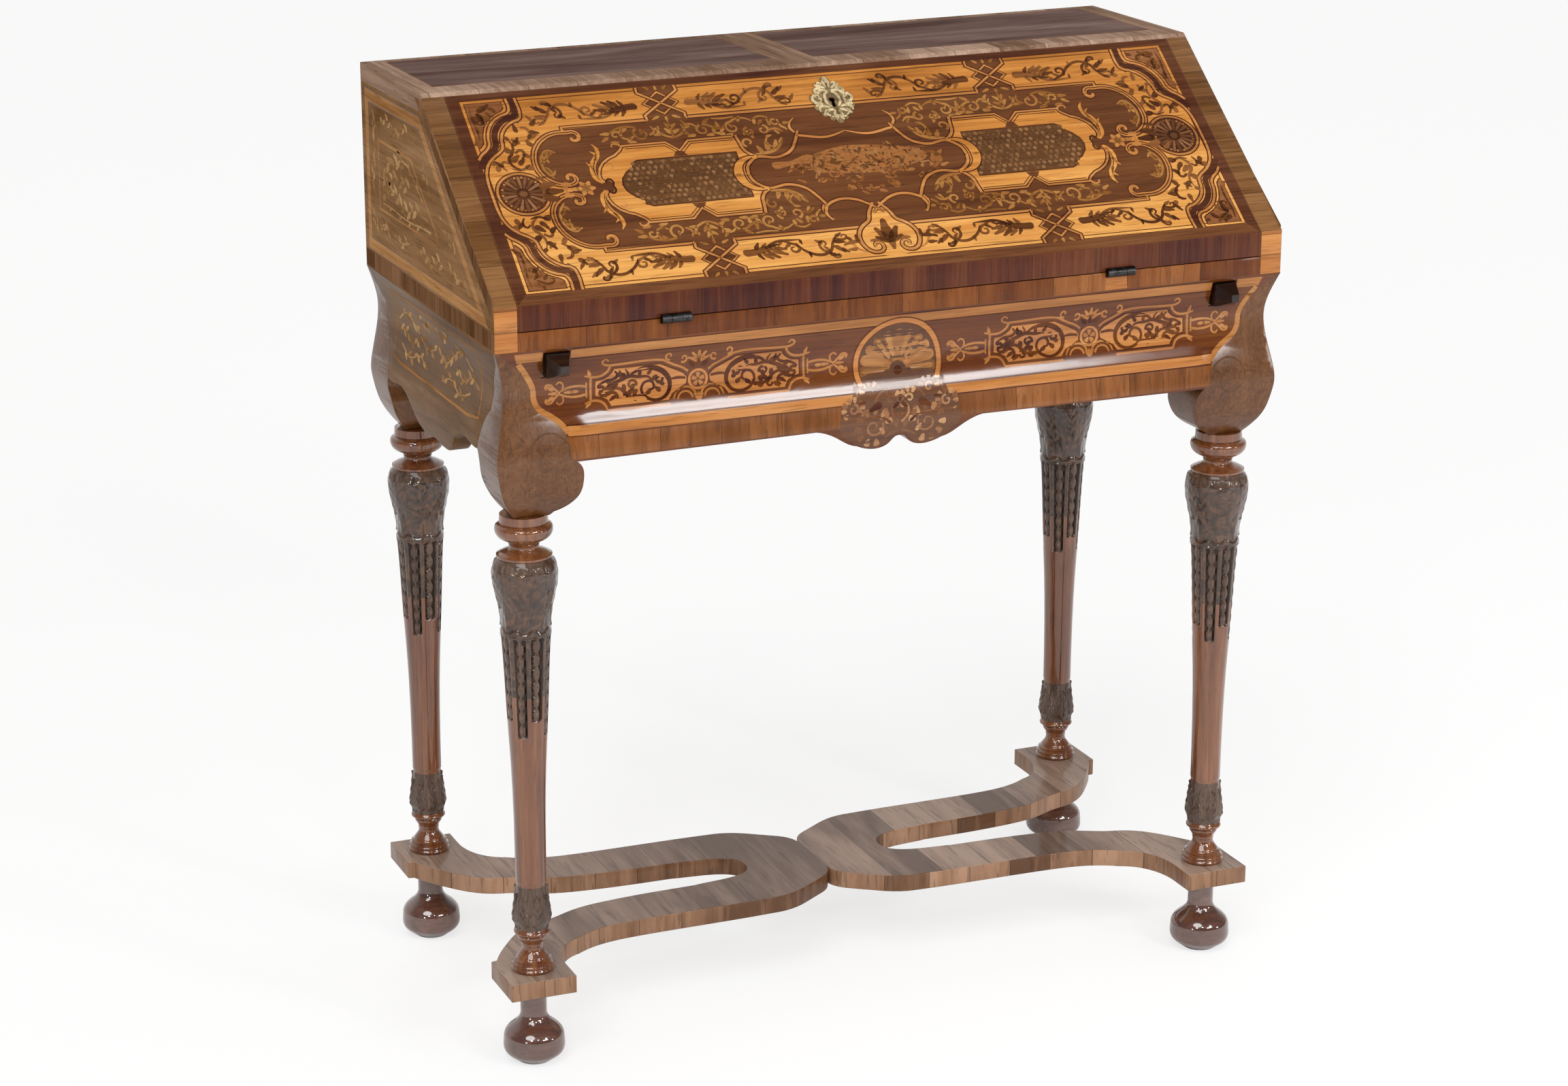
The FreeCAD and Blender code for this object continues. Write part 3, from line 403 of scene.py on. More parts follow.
wood("frieze_line", (58, 32, 17), (84, 48, 24), (106, 65, 35), islands=0.2, coat=0.5, shine=0.0,
     haze=0.15)
wood("burr_walnut", (65, 40, 24), (92, 59, 36), (118, 81, 52), burr=0.85, figure=0.35, along="Z",
     coat=0.55, haze=0.18)
wood("volute_line", (64, 42, 30), (88, 60, 42), (110, 78, 56), along="Z", coat=0.4)
wood("olive_shell", (68, 41, 25), (92, 58, 36), (115, 76, 49), islands=0.15, burr=0.4, **shell_polish)
wood("olive_petal", (104, 66, 34), (136, 88, 48), (160, 110, 64), islands=0.35, **shell_polish)
wood("shell_light", (115, 74, 38), (141, 94, 50), (160, 114, 67), islands=0.35, **shell_polish)
wood("pendant_light", (104, 66, 41), (139, 95, 61), (165, 124, 86), islands=0.5, burr=0.3, **shell_polish)
wood("stretcher_walnut", (93, 74, 62), (125, 103, 90), (154, 131, 115), along="Y", figure=0.6,
     lengths=("X", 0.056), tone_spread=0.34, fibre=(7, 80), coat=0.35, shine=0.1)
wood("stretcher_edge", (88, 61, 44), (124, 92, 70), (154, 120, 96), along="Z", lengths=("X", 0.048),
     tone_spread=0.35, fibre=(7, 60), coat=0.3)
wood("leg_walnut", (72, 38, 22), (106, 64, 40), (136, 91, 62), along="Z", coat=1.0, rough=0.30,
     haze=0.05, gloss=1.65)
wood("worn_walnut", (36, 27, 23), (70, 53, 44), (112, 78, 54), along="Z", coat=1.0, rough=0.34,
     figure=0.2, burr=0.95, knot=58.0, fibre=(7, 90), haze=0.10)
wood("carved_walnut", (46, 34, 28), (82, 65, 55), (110, 92, 80), along="Z", coat=0.6, rough=0.34)
# Near-black wood for the deepest faces of the flutes: painted shade in the grooves.
wood("flute_painted_shade", (30, 22, 18), (48, 37, 31), (70, 56, 47), along="Z", coat=0.3)
wood("foot_walnut", (60, 36, 29), (86, 56, 46), (110, 78, 66), coat=1.0, rough=0.26, haze=0.05, gloss=1.9)
# Near-black wood for the keyhole's walls: painted shade, for the dark inside the hole.
wood("keyhole_painted_shade", (6, 5, 4), (12, 9, 7), (20, 15, 12), **no_gloss)
wood("front_banding", (124, 77, 40), (162, 103, 55), (186, 127, 74), lengths=("Z", 0.021),
     tone_spread=0.3)
wood("inner_band", (76, 44, 28), (106, 66, 42), (130, 86, 56), along="Z")
wood("inner_string", (150, 104, 58), (186, 138, 84), (206, 160, 106))
wood("inner_wood", (104, 68, 42), (140, 96, 60), (166, 120, 80))
wood("drawer_wood", (96, 58, 34), (130, 82, 49), (158, 106, 66))
wood("oak_bar", (118, 92, 62), (154, 124, 88), (182, 152, 114), along="Y")
wood("pine_board", (146, 112, 72), (180, 144, 98), (202, 170, 126))
wood("black_wood", (22, 16, 13), (38, 28, 23), (58, 44, 36), coat=0.6, rough=0.34)
print(len(finishes), "woods")

# %% [markdown]
# No edge on an old desk is razor sharp: a scraper, wax and hands have rounded them all.
# The frame's meshes are loose triangles and must stay as they are, so a copy is merged, its
# flat triangles are joined again into faces, and its edges get a small bevel. The copy then
# stands in for the node. A face that will carry inlay is set back by a hair, so that the
# inlay on it ends up flush with the real size.

# %% A softened copy of a node
body_of_node = {}
for body_name, members in frame["record"]["behaviour"]["bodies"].items():
    for member in members:
        body_of_node[member] = body_name
slot_of_node = {}
for subpart in frame["record"]["subparts"]:
    slot_of_node[subpart["node"]] = subpart["material_slot"]


def new_piece(name, bm, materials, body, smooth_below=35):
    """Makes the mesh a piece of the desk: shading, finishes and the body it rides on."""
    mesh = bpy.data.meshes.new(name)
    bm.to_mesh(mesh)
    bm.free()
    for polygon in mesh.polygons:
        polygon.use_smooth = True
    mesh.set_sharp_from_angle(angle=radians(smooth_below))
    piece = bpy.data.objects.new(name, mesh)
    scene.collection.objects.link(piece)
    for material in materials:
        mesh.materials.append(finishes[material])
    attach(piece, body)
    return piece


def merged_copy(node):
    bm = bmesh.new()
    bm.from_mesh(frame["nodes"][node].data)
    bmesh.ops.remove_doubles(bm, verts=bm.verts, dist=2e-6)
    bmesh.ops.dissolve_limit(
        bm, angle_limit=radians(0.3), verts=bm.verts, edges=bm.edges, use_dissolve_boundaries=False,
        delimit={"NORMAL"})
    return bm


def soften(bm, width, sharper_than):
    limit = radians(sharper_than)
    edges = [e for e in bm.edges if len(e.link_faces) == 2 and e.calc_face_angle(0) > limit]
    bmesh.ops.bevel(
        bm, geom=edges, offset=width, offset_type="OFFSET", segments=2, profile=0.5,
        affect="EDGES", clamp_overlap=True, material=-1)


hair = 0.12 * mm


def softened(node, finish, width=0.6 * mm, set_back=None, sharper_than=30, choose=None, cuts=()):
    """A copy of a node with soft edges. set_back takes a vertex to the place it should have,
    choose takes a face to the number of its finish, where there are several, and
    cuts are planes, each a point and a direction, that give the skin more vertices."""
    bm = merged_copy(node)
    for point, direction in cuts:
        bmesh.ops.bisect_plane(bm, geom=bm.verts[:] + bm.edges[:] + bm.faces[:], plane_co=point,
                               plane_no=direction)
    if set_back:
        for vertex in bm.verts:
            vertex.co = set_back(vertex.co)
    soften(bm, width, sharper_than)
    woods = [finish] if isinstance(finish, str) else finish
    for face in bm.faces:
        face.material_index = choose(face) if choose else 0
    piece = new_piece(node + "_wood", bm, woods, body_of_node[node])
    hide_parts(node)
    return piece


corners = ("front_left", "front_right", "back_left", "back_right")


def paint(node, finish):
    """Gives a node that stays as it is its finish."""
    materials = frame["nodes"][node].data.materials
    materials.clear()
    materials.append(finishes[finish])


def lower_top(co):
    return Vector((co.x, co.y, min(co.z, total_height - hair)))


def narrow_sides(co):
    limit = half_width - hair
    return Vector((max(-limit, min(limit, co.x)), co.y, co.z))


slope_normal = Vector((0, -sin(slant), cos(slant)))


def smooth_step(value, low, high):
    share = min(max((value - low) / (high - low), 0), 1)
    return share * share * (3 - 2 * share)


frieze_back_y = -184 * mm
belly_z, belly_spread, belly_swell = 674 * mm, 12 * mm, 2.2 * mm


def rounded_belly(co):
    """Fills out the belly of the frieze between the ears, so that it catches one narrow light."""
    if co.y > frieze_back_y:
        return co
    swell = belly_swell * exp(-((co.z - belly_z) / belly_spread) ** 2)
    fade = 1 - smooth_step(abs(co.x), 332 * mm, 354 * mm)
    return co - Vector((0, swell * fade, 0))


def side_finish(face):
    """Banding on the sloping edge and the upright edge below it, plain wood elsewhere."""
    return 1 if face.normal.dot(slope_normal) > 0.9 else 2 if face.normal.y < -0.8 else 0


keyhole_s = 221.7
keyhole_middle = Vector((0, front_y + keyhole_s * mm * cos(slant), break_z + keyhole_s * mm * sin(slant)))
keyhole_around = 14 * mm


def fall_finish(face):
    """The show face, the upright lower edge, the walls of the keyhole, painted near black as the shade
    inside the hole, and the rest.
    """
    aside = face.calc_center_median() - keyhole_middle
    aside -= slope_normal * aside.dot(slope_normal)
    if aside.length < keyhole_around and abs(face.normal.dot(slope_normal)) < 0.97:
        return 3
    return 0 if face.normal.dot(slope_normal) > 0.9 else 1 if face.normal.y < -0.8 else 2


softened("top_board", "top_banding", set_back=lambda co: narrow_sides(lower_top(co)))
for side in ("left", "right"):
    softened("case_side_" + side, ["side_walnut_and_sheen", "slope_banding", "front_banding"],
             set_back=narrow_sides, choose=side_finish)
    softened("side_frieze_" + side, "side_frieze_wood", sharper_than=40)
softened("front_rail", "rail_banding", 0.4 * mm)
belly_cuts = [((0, 0, z * mm), (0, 0, 1)) for z in range(644, 710, 2)]
belly_cuts += [((x * side * mm, 0, 0), (1, 0, 0)) for x in range(324, 355, 6) for side in (-1, 1)]
frieze_board = softened("front_frieze", "frieze_field", 0.8 * mm, rounded_belly, sharper_than=40,
                        cuts=belly_cuts)
softened("fall_front", ["walnut_field", "edge_banding", "inner_wood", "keyhole_painted_shade"], 0.5 * mm,
         choose=fall_finish)
softened("back_rail", "pine_board")
for corner in corners:
    softened("corner_block_" + corner, "burr_walnut", 0.8 * mm, sharper_than=40)
print("softened carcase")

# %% [markdown]
# The stretcher is sawn from thick boards and veneered across its width in short lengths,
# which is why its top and its edge both show seams. Its copy only needs soft edges, and
# the finish changes between the flat top and the upright edge, so two materials are
# chosen by the way each face looks. Level faces are shaded flat, so that the light on them
# does not bend towards their edges.

# %% The stretcher
bm = merged_copy("stretcher")
soften(bm, 0.8 * mm, 60)
for face in bm.faces:
    face.material_index = 0 if face.normal.z > 0.7 else 1
stretcher = new_piece(
    "stretcher_board", bm, ["stretcher_walnut", "stretcher_edge"], "case")
for polygon in stretcher.data.polygons:
    if abs(polygon.normal.z) > 0.999:
        polygon.use_smooth = False
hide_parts("stretcher")
print("stretcher")

# %% [markdown]
# Each leg is turned in one piece and then carved. Turning is a spin: the outline is measured
# on the frame's own leg by rays shot at its axis, and spun about that axis. Carving moves
# the skin in or out by its height and its place round the leg: sunk flutes holding chains of
# husks, a foliate head above them, and a cup of leaves at the ankle.

# %% Turn a shape from the frame
def tree_of(node):
    mesh = frame["nodes"][node].data
    return BVHTree.FromPolygons([v.co for v in mesh.vertices], [p.vertices for p in mesh.polygons])


ray_margin = 0.02 * mm
ray_reach = 200 * mm


def turned_blank(node, around, step):
    """A closed turned mesh about a node's own axis, and the axis's place."""
    box_low, box_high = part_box(node)
    axis = Vector(((box_low.x + box_high.x) / 2, (box_low.y + box_high.y) / 2, 0))
    skin = tree_of(node)
    low, high = box_low.z, box_high.z
    count = round((high - low) / step)
    bm = bmesh.new()
    outline = [bm.verts.new((axis.x, axis.y, low))]
    for i in range(count + 1):
        z = low + (high - low) * i / count
        level = min(max(z, low + ray_margin), high - ray_margin)
        hit = skin.ray_cast(Vector((axis.x + ray_reach, axis.y, level)), Vector((-1, 0, 0)))[0]
        outline.append(bm.verts.new((hit.x, axis.y, z)))
    outline.append(bm.verts.new((axis.x, axis.y, high)))
    edges = [bm.edges.new(pair) for pair in zip(outline, outline[1:])]
    bmesh.ops.spin(
        bm, geom=outline + edges, cent=axis, axis=(0, 0, 1), angle=2 * pi, steps=around, use_merge=True)
    bmesh.ops.remove_doubles(bm, verts=bm.verts, dist=1e-6)
    bmesh.ops.recalc_face_normals(bm, faces=bm.faces)
    return bm, axis


def between(value, low, high, soft):
    """1 inside a stretch, 0 outside, with soft ends."""
    return smooth_step(value, low - soft, low + soft) * (1 - smooth_step(value, high - soft, high + soft))


# %% Carve a leg
flute_count = 8
flute_top = 461 * mm
flute_foot = 356 * mm
short_by = 17 * mm
flute_offset = 0.2
flute_sink, husk_rise = 2.6 * mm, 2.5 * mm
husk_pitch = 14.5 * mm
head_low, head_high = 461 * mm, 545 * mm
head_leaf, head_rim = 1.5, 0.6
ankle_low, ankle_high = 146 * mm, 196 * mm
ankle_leaf, ankle_sink = 2.3, 0.5
leaf_count = 8
lip_low, lip_high, neck_z = 540.6 * mm, 543.4 * mm, 550 * mm
lip_reach, flare_reach, neck_reach = 27.8, 25.5, 15
rings_low, rings_high, ring_count = 102 * mm, 115 * mm, 3


def flute_depth(turn, z):
    """How far the skin moves in or out in the fluted stretch. Every other flute is shorter."""
    place = turn * flute_count / (2 * pi) - flute_offset
    number = round(place)
    across = (place - number) * 2
    foot = flute_foot + (0 if number % 2 else short_by)
    inside = between(z, foot, flute_top - 1 * mm, 0.9 * mm)
    sunk = between(across, -0.70, 0.70, 0.07)
    along = ((z - foot) / husk_pitch) % 1
    husk_half = 0.52 * (0.45 + 0.55 * sin(pi * min(along * 1.1, 1)) ** 0.6)
    husk = max(0, 1 - (across / husk_half) ** 2)
    ridge = 0.35 + 0.65 * sin(pi * along) ** 0.5
    return inside * sunk * (husk_rise * (husk ** 0.5) * ridge - flute_sink)


def leaf_relief(turn, z, count, low, high, offset=0.0):
    """Upright leaves round a turning: rounded bodies with lobed edges, a midrib and veins."""
    place = turn * count / (2 * pi) + offset
    across = (place - round(place)) * 2
    up_share = (z - low) / (high - low)
    if not 0 <= up_share <= 1:
        return 0
    lobes = 0.10 * abs(sin(up_share * pi * 4.5))
    half = 0.92 * sin(pi * min(0.5 + up_share * 0.52, 1)) ** 0.55 - lobes
    if half <= 0.03:
        return 0
    side = abs(across) / half
    if side >= 1:
        return 0
    body = (1 - side ** 4) ** 0.5
    rib = 0.35 * max(0, 1 - abs(across) * 7)
    vein = 0.16 * sin((up_share * 9 - abs(across) * 3.2) * pi)
    return body * (0.75 + rib + vein)


def head_relief(turn, z):
    """The worn foliage of the head: leaves hanging from its shoulder over a scalloped rim."""
    down = head_low + head_high - z
    hanging = leaf_relief(turn, down, leaf_count, 470 * mm, 520 * mm)
    between_them = leaf_relief(turn, down, leaf_count, 478 * mm, 541 * mm, 0.5)
    rim_z = head_low + 2.2 * mm * (1 + cos(turn * leaf_count))
    rim = between(z, rim_z, rim_z + 4 * mm, 0.8 * mm)
    shoulder = between(z, 528 * mm, 538 * mm, 2 * mm) * 0.35
    return (head_leaf * max(hanging, 0.8 * between_them) + head_rim * rim + shoulder) * mm


def turned_rings(z, reach):
    """A thin lip over the head, a groove in the collar and fine rings on the foot of the leg."""
    flare = neck_reach + (flare_reach - neck_reach) * (1 - smooth_step(z, 543.5 * mm, neck_z))
    edge = lip_reach * between(z, lip_low, lip_high, 0.3 * mm)
    lip = max(flare, edge) * between(z, lip_low, neck_z, 0.3 * mm)
    groove = -0.9 * between(z, 573.6 * mm, 575.4 * mm, 0.5 * mm)
    wave = sin((z - rings_low) / (rings_high - rings_low) * 2 * pi * ring_count)
    rings = 0.9 * between(z, rings_low, rings_high, 1 * mm) * wave
    return max(lip * mm - reach, 0) + (groove + rings) * mm


def ankle_relief(turn, z):
    front_leaves = leaf_relief(turn, z, leaf_count, ankle_low, 186 * mm)
    back_leaves = leaf_relief(turn, z, leaf_count, ankle_low, ankle_high - 1 * mm, 0.5)
    return (ankle_leaf * max(front_leaves, 0.72 * back_leaves) - ankle_sink) * mm


def in_flutes(z):
    return flute_foot - 3 * mm < z < flute_top + 2 * mm


def carve(co, axis):
    out = Vector((co.x - axis.x, co.y - axis.y, 0))
    if out.length < 5 * mm:
        return co
    turn = atan2(out.y, out.x) + pi / 2
    move = turned_rings(co.z, out.length)
    if in_flutes(co.z):
        move = flute_depth(turn, co.z)
    elif head_low < co.z < head_high:
        move += head_relief(turn, co.z)
    if ankle_low < co.z < ankle_high:
        move = ankle_relief(turn, co.z)
    return co + out.normalized() * move


leg_woods = ["leg_walnut", "worn_walnut", "carved_walnut", "flute_painted_shade"]
polished, worn, carved, shaded_hollow = range(4)


def leg_finish(place, axis):
    """Which of the leg's finishes a place has. The wear runs down the fillets between the flutes. The
    sunk faces of the flutes get painted shade, darker with their depth.
    """
    if 463 * mm < place.z < 540.3 * mm:
        return worn if place.z < 530 * mm else carved
    if ankle_low < place.z < ankle_high - 3 * mm:
        return carved
    if not in_flutes(place.z):
        return polished
    turn = atan2(place.y - axis.y, place.x - axis.x) + pi / 2
    depth = flute_depth(turn, place.z)
    fillet = worn if place.z > 398 * mm else polished
    return shaded_hollow if depth < -1.7 * mm else carved if depth < -0.15 * mm else fillet


for corner in corners:
    node = "leg_" + corner
    bm, axis = turned_blank(node, 112, 1.0 * mm)
    for vertex in bm.verts:
        vertex.co = carve(vertex.co, axis)
    for face in bm.faces:
        face.material_index = leg_finish(face.calc_center_median(), axis)
    piece = new_piece(node + "_carved", bm, leg_woods, "case", 60)
    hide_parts(node)
    node = "foot_" + corner
    bm, axis = turned_blank(node, 72, 1.5 * mm)
    piece = new_piece(node + "_turned", bm, ["foot_walnut"], "case", 50)
    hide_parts(node)
print("legs and feet")

# %% [markdown]
# Metal pieces keep the frame's shapes, all but the escutcheon, which gets its relief further
# on. Steel that has been in a house for very long goes dark and slightly mottled, and gilding
# is never even: its recesses keep the dark. The plain woods inside are painted here too.

# %% Metal finishes
def metal(name, dark, light, rough, metallic=1.0):
    material = bpy.data.materials.new(name)
    material.use_nodes = True
    tree = material.node_tree
    shader = tree.nodes["Principled BSDF"]
    straight, _ = mapping(tree)
    patches = noise(tree, straight, 160.0, 5.0, 0.65, 0.4)
    tree.links.new(
        ramp(tree, patches, [(0.32, colour(*dark)), (0.62, colour(*light))]), shader.inputs["Base Color"])
    join(tree, math(tree, "ADD", rough - 0.1, math(tree, "MULTIPLY", patches, 0.25)),
         shader.inputs["Roughness"])
    dents = add_node(tree, "ShaderNodeBump", {"Height": patches, "Strength": 0.15, "Distance": 0.0005})
    tree.links.new(dents.outputs[0], shader.inputs["Normal"])
    shader.inputs["Metallic"].default_value = metallic
    finishes[name] = material


metal("dark_steel", (30, 29, 30), (74, 72, 72), 0.38)
metal("pale_gilding", (152, 130, 90), (230, 210, 166), 0.34, 0.35)
metal("gilding_ground", (70, 54, 34), (150, 126, 86), 0.5, 0.35)
metal("bright_brass", (150, 112, 56), (214, 176, 104), 0.28, 0.7)

finish_of_slot = {
    "dark_steel": "dark_steel", "gilt_brass": "pale_gilding", "black_wood": "black_wood",
    "oak_bar": "oak_bar", "pine_board": "pine_board", "inner_walnut": "inner_wood",
    "drawer_veneer": "drawer_wood"}
for node, slot in slot_of_node.items():
    if node.startswith("drawer_knob"):
        paint(node, "bright_brass")
    elif slot in finish_of_slot and node != "back_rail":
        paint(node, finish_of_slot[slot])
print("metals and plain woods")

# %% [markdown]
# Marquetry is a flat picture sawn from thin woods and glued on the carcase. Each part of it
# is drawn flat first, in millimetres, as smooth curves through a few points. A curve can
# be filled, which gives a leaf or a panel, or drawn out sideways to a width, which gives a
# string. The flat sheet is then given a thickness and set on the desk.

# %% Draw flat shapes
def flat_curve(lines, straight, closed, tilt=0.0):
    """A curve object's data from lines of (across, up) or (across, up, width share) points."""
    curve = bpy.data.curves.new("drawing", "CURVE")
    curve.resolution_u = 1 if straight else 5
    for points in lines:
        spline = curve.splines.new("BEZIER")
        spline.bezier_points.add(len(points) - 1)
        spline.use_cyclic_u = closed
        for knot, point in zip(spline.bezier_points, points):
            knot.co = (point[0] * mm, point[1] * mm, 0)
            knot.handle_left_type = knot.handle_right_type = "VECTOR" if straight else "AUTO"
            knot.tilt = tilt
            knot.radius = point[2] if len(point) > 2 else 1.0
    return curve


def sheet_from(curve):
    holder = bpy.data.objects.new("drawing", curve)
    mesh = bpy.data.meshes.new_from_object(holder)
    bm = bmesh.new()
    bm.from_mesh(mesh)
    bpy.data.objects.remove(holder)
    bpy.data.curves.remove(curve)
    bpy.data.meshes.remove(mesh)
    bmesh.ops.remove_doubles(bm, verts=bm.verts, dist=1e-6)
    return bm


def bands(lines, width, straight=False, closed=False):
    """Strings of one width along lines."""
    curve = flat_curve(lines, straight, closed, tilt=pi / 2)
    curve.dimensions = "3D"
    curve.twist_mode = "Z_UP"
    curve.extrude = width * mm / 2
    return sheet_from(curve)


def panels(outlines, straight=False):
    """Filled outlines; one inside another is a hole."""
    curve = flat_curve(outlines, straight, True)
    curve.dimensions = "2D"
    curve.fill_mode = "BOTH"
    return sheet_from(curve)


def gathered(sheets):
    """Several flat sheets as one."""
    whole = bmesh.new()
    for sheet in sheets:
        mesh = bpy.data.meshes.new("part")
        sheet.to_mesh(mesh)
        sheet.free()
        whole.from_mesh(mesh)
        bpy.data.meshes.remove(mesh)
    return whole


def mirrored(sheet, axis, centre=0.0):
    """The sheet and its mirror image across a line."""
    shift = Vector((centre * mm, 0, 0)) if axis == "X" else Vector((0, centre * mm, 0))
    bmesh.ops.translate(sheet, verts=sheet.verts, vec=-shift)
    bmesh.ops.mirror(sheet, geom=sheet.verts[:] + sheet.edges[:] + sheet.faces[:], merge_dist=-1,
                     axis=axis)
    bmesh.ops.translate(sheet, verts=sheet.verts, vec=shift)
    return sheet


# %% [markdown]
# A surface is a function that takes a place in the drawing, and a height over the wood, to
# a place on the desk. The fall is a tilted plane. The frieze swells and tucks in, so a ray
# is shot at the frame to find its skin, and the sheet is first cut across at short steps so
# that it can bend.

# %% Set a drawing on the desk
def on_fall(across, up, height):
    return Vector((
        across,
        front_y + up * cos(slant) - height * sin(slant),
        break_z + up * sin(slant) + height * cos(slant)))


front_skin = BVHTree.FromPolygons(
    [v.co for v in frieze_board.data.vertices], [p.vertices for p in frieze_board.data.polygons])
ear_skins = [tree_of("corner_block_front_left"), tree_of("corner_block_front_right")]
ray_before, ray_length = 100 * mm, 160 * mm


def on_front(across, up, height):
    start = Vector((across, front_y - ray_before, up))
    ahead_y = Vector((0, 1, 0))
    for skin in [front_skin] + ear_skins:
        hit, normal, _, _ = skin.ray_cast(start, ahead_y, ray_length)
        if hit:
            return hit + normal * height if normal.y < -0.2 else hit + Vector((0, -height, 0))
    return Vector((across, front_y + 1 * mm, up))


def flat_surface(axis, level, outwards=1):
    """A flat face square to an axis; outwards is 1 or -1, the way the face looks along it."""
    def place(across, up, height):
        spot = [across, up]
        spot.insert("XYZ".index(axis), level + outwards * height)
        return Vector(spot)
    return place


inlay_depth = 0.30 * mm


def inlay(name, sheet, height, finish, surface, body, cuts=()):
    """Gives a flat sheet a thickness, sets it on a surface and makes it a piece."""
    for direction, low, high, step in cuts:
        for i in range(round((high - low) / step) + 1):
            bmesh.ops.bisect_plane(
                sheet, geom=sheet.verts[:] + sheet.edges[:] + sheet.faces[:],
                plane_co=Vector(direction) * (low + i * step) * mm, plane_no=direction)
    grown = bmesh.ops.extrude_face_region(sheet, geom=sheet.faces[:], use_keep_orig=True)
    under = [v for v in grown["geom"] if isinstance(v, bmesh.types.BMVert)]
    bmesh.ops.translate(sheet, verts=under, vec=(0, 0, -inlay_depth))
    for vertex in sheet.verts:
        vertex.co = surface(vertex.co.x, vertex.co.y, height * mm + vertex.co.z)
    bmesh.ops.recalc_face_normals(sheet, faces=sheet.faces)
    return new_piece(name, sheet, [finish], body, 30)


def on_the_fall(name, sheet, height, finish):
    """A sheet set on the fall, at a height given in millimetres."""
    return inlay("fall_" + name, sheet, height, finish, on_fall, "fall")


# %% Scrolls and leaves
def spiral(across, up, size, start, turns, inner=0.22):
    """Points winding in round a place, from an angle in degrees; turns may be negative."""
    count = max(4, round(abs(turns) * 8))
    points = []
    for i in range(count + 1):
        share = i / count
        angle = radians(start) + 2 * pi * turns * share
        reach = size * (1 - (1 - inner) * share)
        points.append((across + reach * cos(angle), up + reach * sin(angle), 1 - 0.35 * share))
    return points


def run_point(points, share):
    """Place and heading at a share of a smooth run through points."""
    spans = len(points) - 1
    first = min(int(share * spans), spans - 1)
    t = share * spans - first
    a, b, c, d = [
        Vector(points[min(max(i, 0), spans)][:2]) for i in range(first - 1, first + 3)]
    square, cube = 2 * a - 5 * b + 4 * c - d, 3 * b - a - 3 * c + d
    place = 0.5 * ((2 * b) + (c - a) * t + square * t * t + cube * t ** 3)
    heading = (c - a) * (1 - t) + (d - b) * t
    return place, heading.normalized() if heading.length > 0 else Vector((1, 0))


leaf_shape = ((0, 0.12), (0.30, 0.5), (0.68, 0.38), (1.0, 0.0), (0.68, -0.30), (0.30, -0.44), (0, -0.12))


def leaf(place, angle, length, width, bend=0.0):
    """Outline of a pointed leaf from its foot, in a direction in degrees."""
    heading = Vector((cos(radians(angle)), sin(radians(angle))))
    sideways = Vector((-heading.y, heading.x))
    points = []
    for along, out in leaf_shape:
        aside = out * width + bend * length * along ** 2
        points.append(tuple(Vector(place) + heading * along * length + sideways * aside))
    return points


leafed_from, leafed_to = 0.12, 0.95
stem_taper = 0.55
leaf_spread = 42


def frond(points, leaves, size, first):
    """A tapered stem through points with leaves at both sides by turns, the first on one side."""
    stem = []
    count = len(points) - 1
    for i, point in enumerate(points):
        width = point[2] if len(point) > 2 else 1.0
        stem.append((point[0], point[1], width * (1.0 - stem_taper * i / count)))
    shapes = []
    for i in range(leaves):
        share = leafed_from + (leafed_to - leafed_from) * (i + 0.5) / leaves
        place, heading = run_point(points, share)
        side = first if i % 2 == 0 else -first
        angle = atan2(heading.y, heading.x) * 180 / pi + side * leaf_spread
        shapes.append(leaf(place, angle, size * (1 - 0.35 * share), size * 0.42, -side * 0.18))
    return stem, shapes


def fronds(rows):
    """The stems and the leaves of several fronds."""
    stems, shapes = [], []
    for row in rows:
        stem, grown = frond(*row)
        stems.append(stem)
        shapes += grown
    return stems, shapes


def dot(across, up, size, sides=8):
    """A small regular outline, drawn as a round spot."""
    turns = [2 * pi * i / sides for i in range(sides)]
    return [(across + size * cos(turn), up + size * sin(turn)) for turn in turns]


def leaves_from(rows):
    """Leaves from rows of across, up, angle, length, width and bend."""
    return [leaf(row[:2], *row[2:]) for row in rows]


def filled(shapes):
    """One flat sheet of shapes, each filled by itself so that they may overlap."""
    return gathered([panels([shape]) for shape in shapes])


def drawing(stems, shapes, width):
    """One flat sheet of stems and filled shapes."""
    return gathered([bands(stems, width), filled(shapes)])


def both_sides(half):
    """An outline and its mirror image across the middle; a point on the middle is kept once."""
    return half + [(-x, y) for x, y in reversed(half) if x]


print("drawing helpers")

# %% [markdown]
# The fall is the show face. From the outside in it has a dark border, a broad frame of
# orange fruitwood whose corners are strapwork, a brown field with scrolled ends, two side
# cartouches filled with a small diaper, and a middle one whose picture is nearly worn away.
# All but that picture is symmetrical, so half or a quarter is drawn and mirrored. Heights
# grow by a few hundredths of a millimetre, so that the woods never share one plane.

# %% Borders and frame of the fall
middle = 136.0
face_top = 267.0
frame_x, frame_low, frame_high = 389.0, 13.0, 260.0


def four_ways(sheet):
    return mirrored(mirrored(sheet, "X"), "Y", middle)


def both_ends(sheet):
    return mirrored(sheet, "X")


def outlined(name, lines, width, straight=False, closed=False, ways=four_ways, height=0.14, edge=2.8):
    """A pale string with a fine dark line along both its edges."""
    on_the_fall(name + "_edge", ways(bands(lines, width + edge, straight, closed)), height, "dark_line")
    on_the_fall(name, ways(bands(lines, width, straight, closed)), height + 0.04, "pale_string")


def shifted(points, across, up, sign=1):
    """Points of a drawing moved to a place, and turned over sideways if sign is -1."""
    return [(across + sign * p[0], up + p[1]) + tuple(p[2:]) for p in points]


def below(points):
    """Points mirrored to the other side of the middle line of the fall."""
    return [(x, 2 * middle - s) for x, s in points]


def folded(half):
    """An outline that ends on the middle line, and its mirror image under it."""
    return half + below(reversed(half[:-1]))


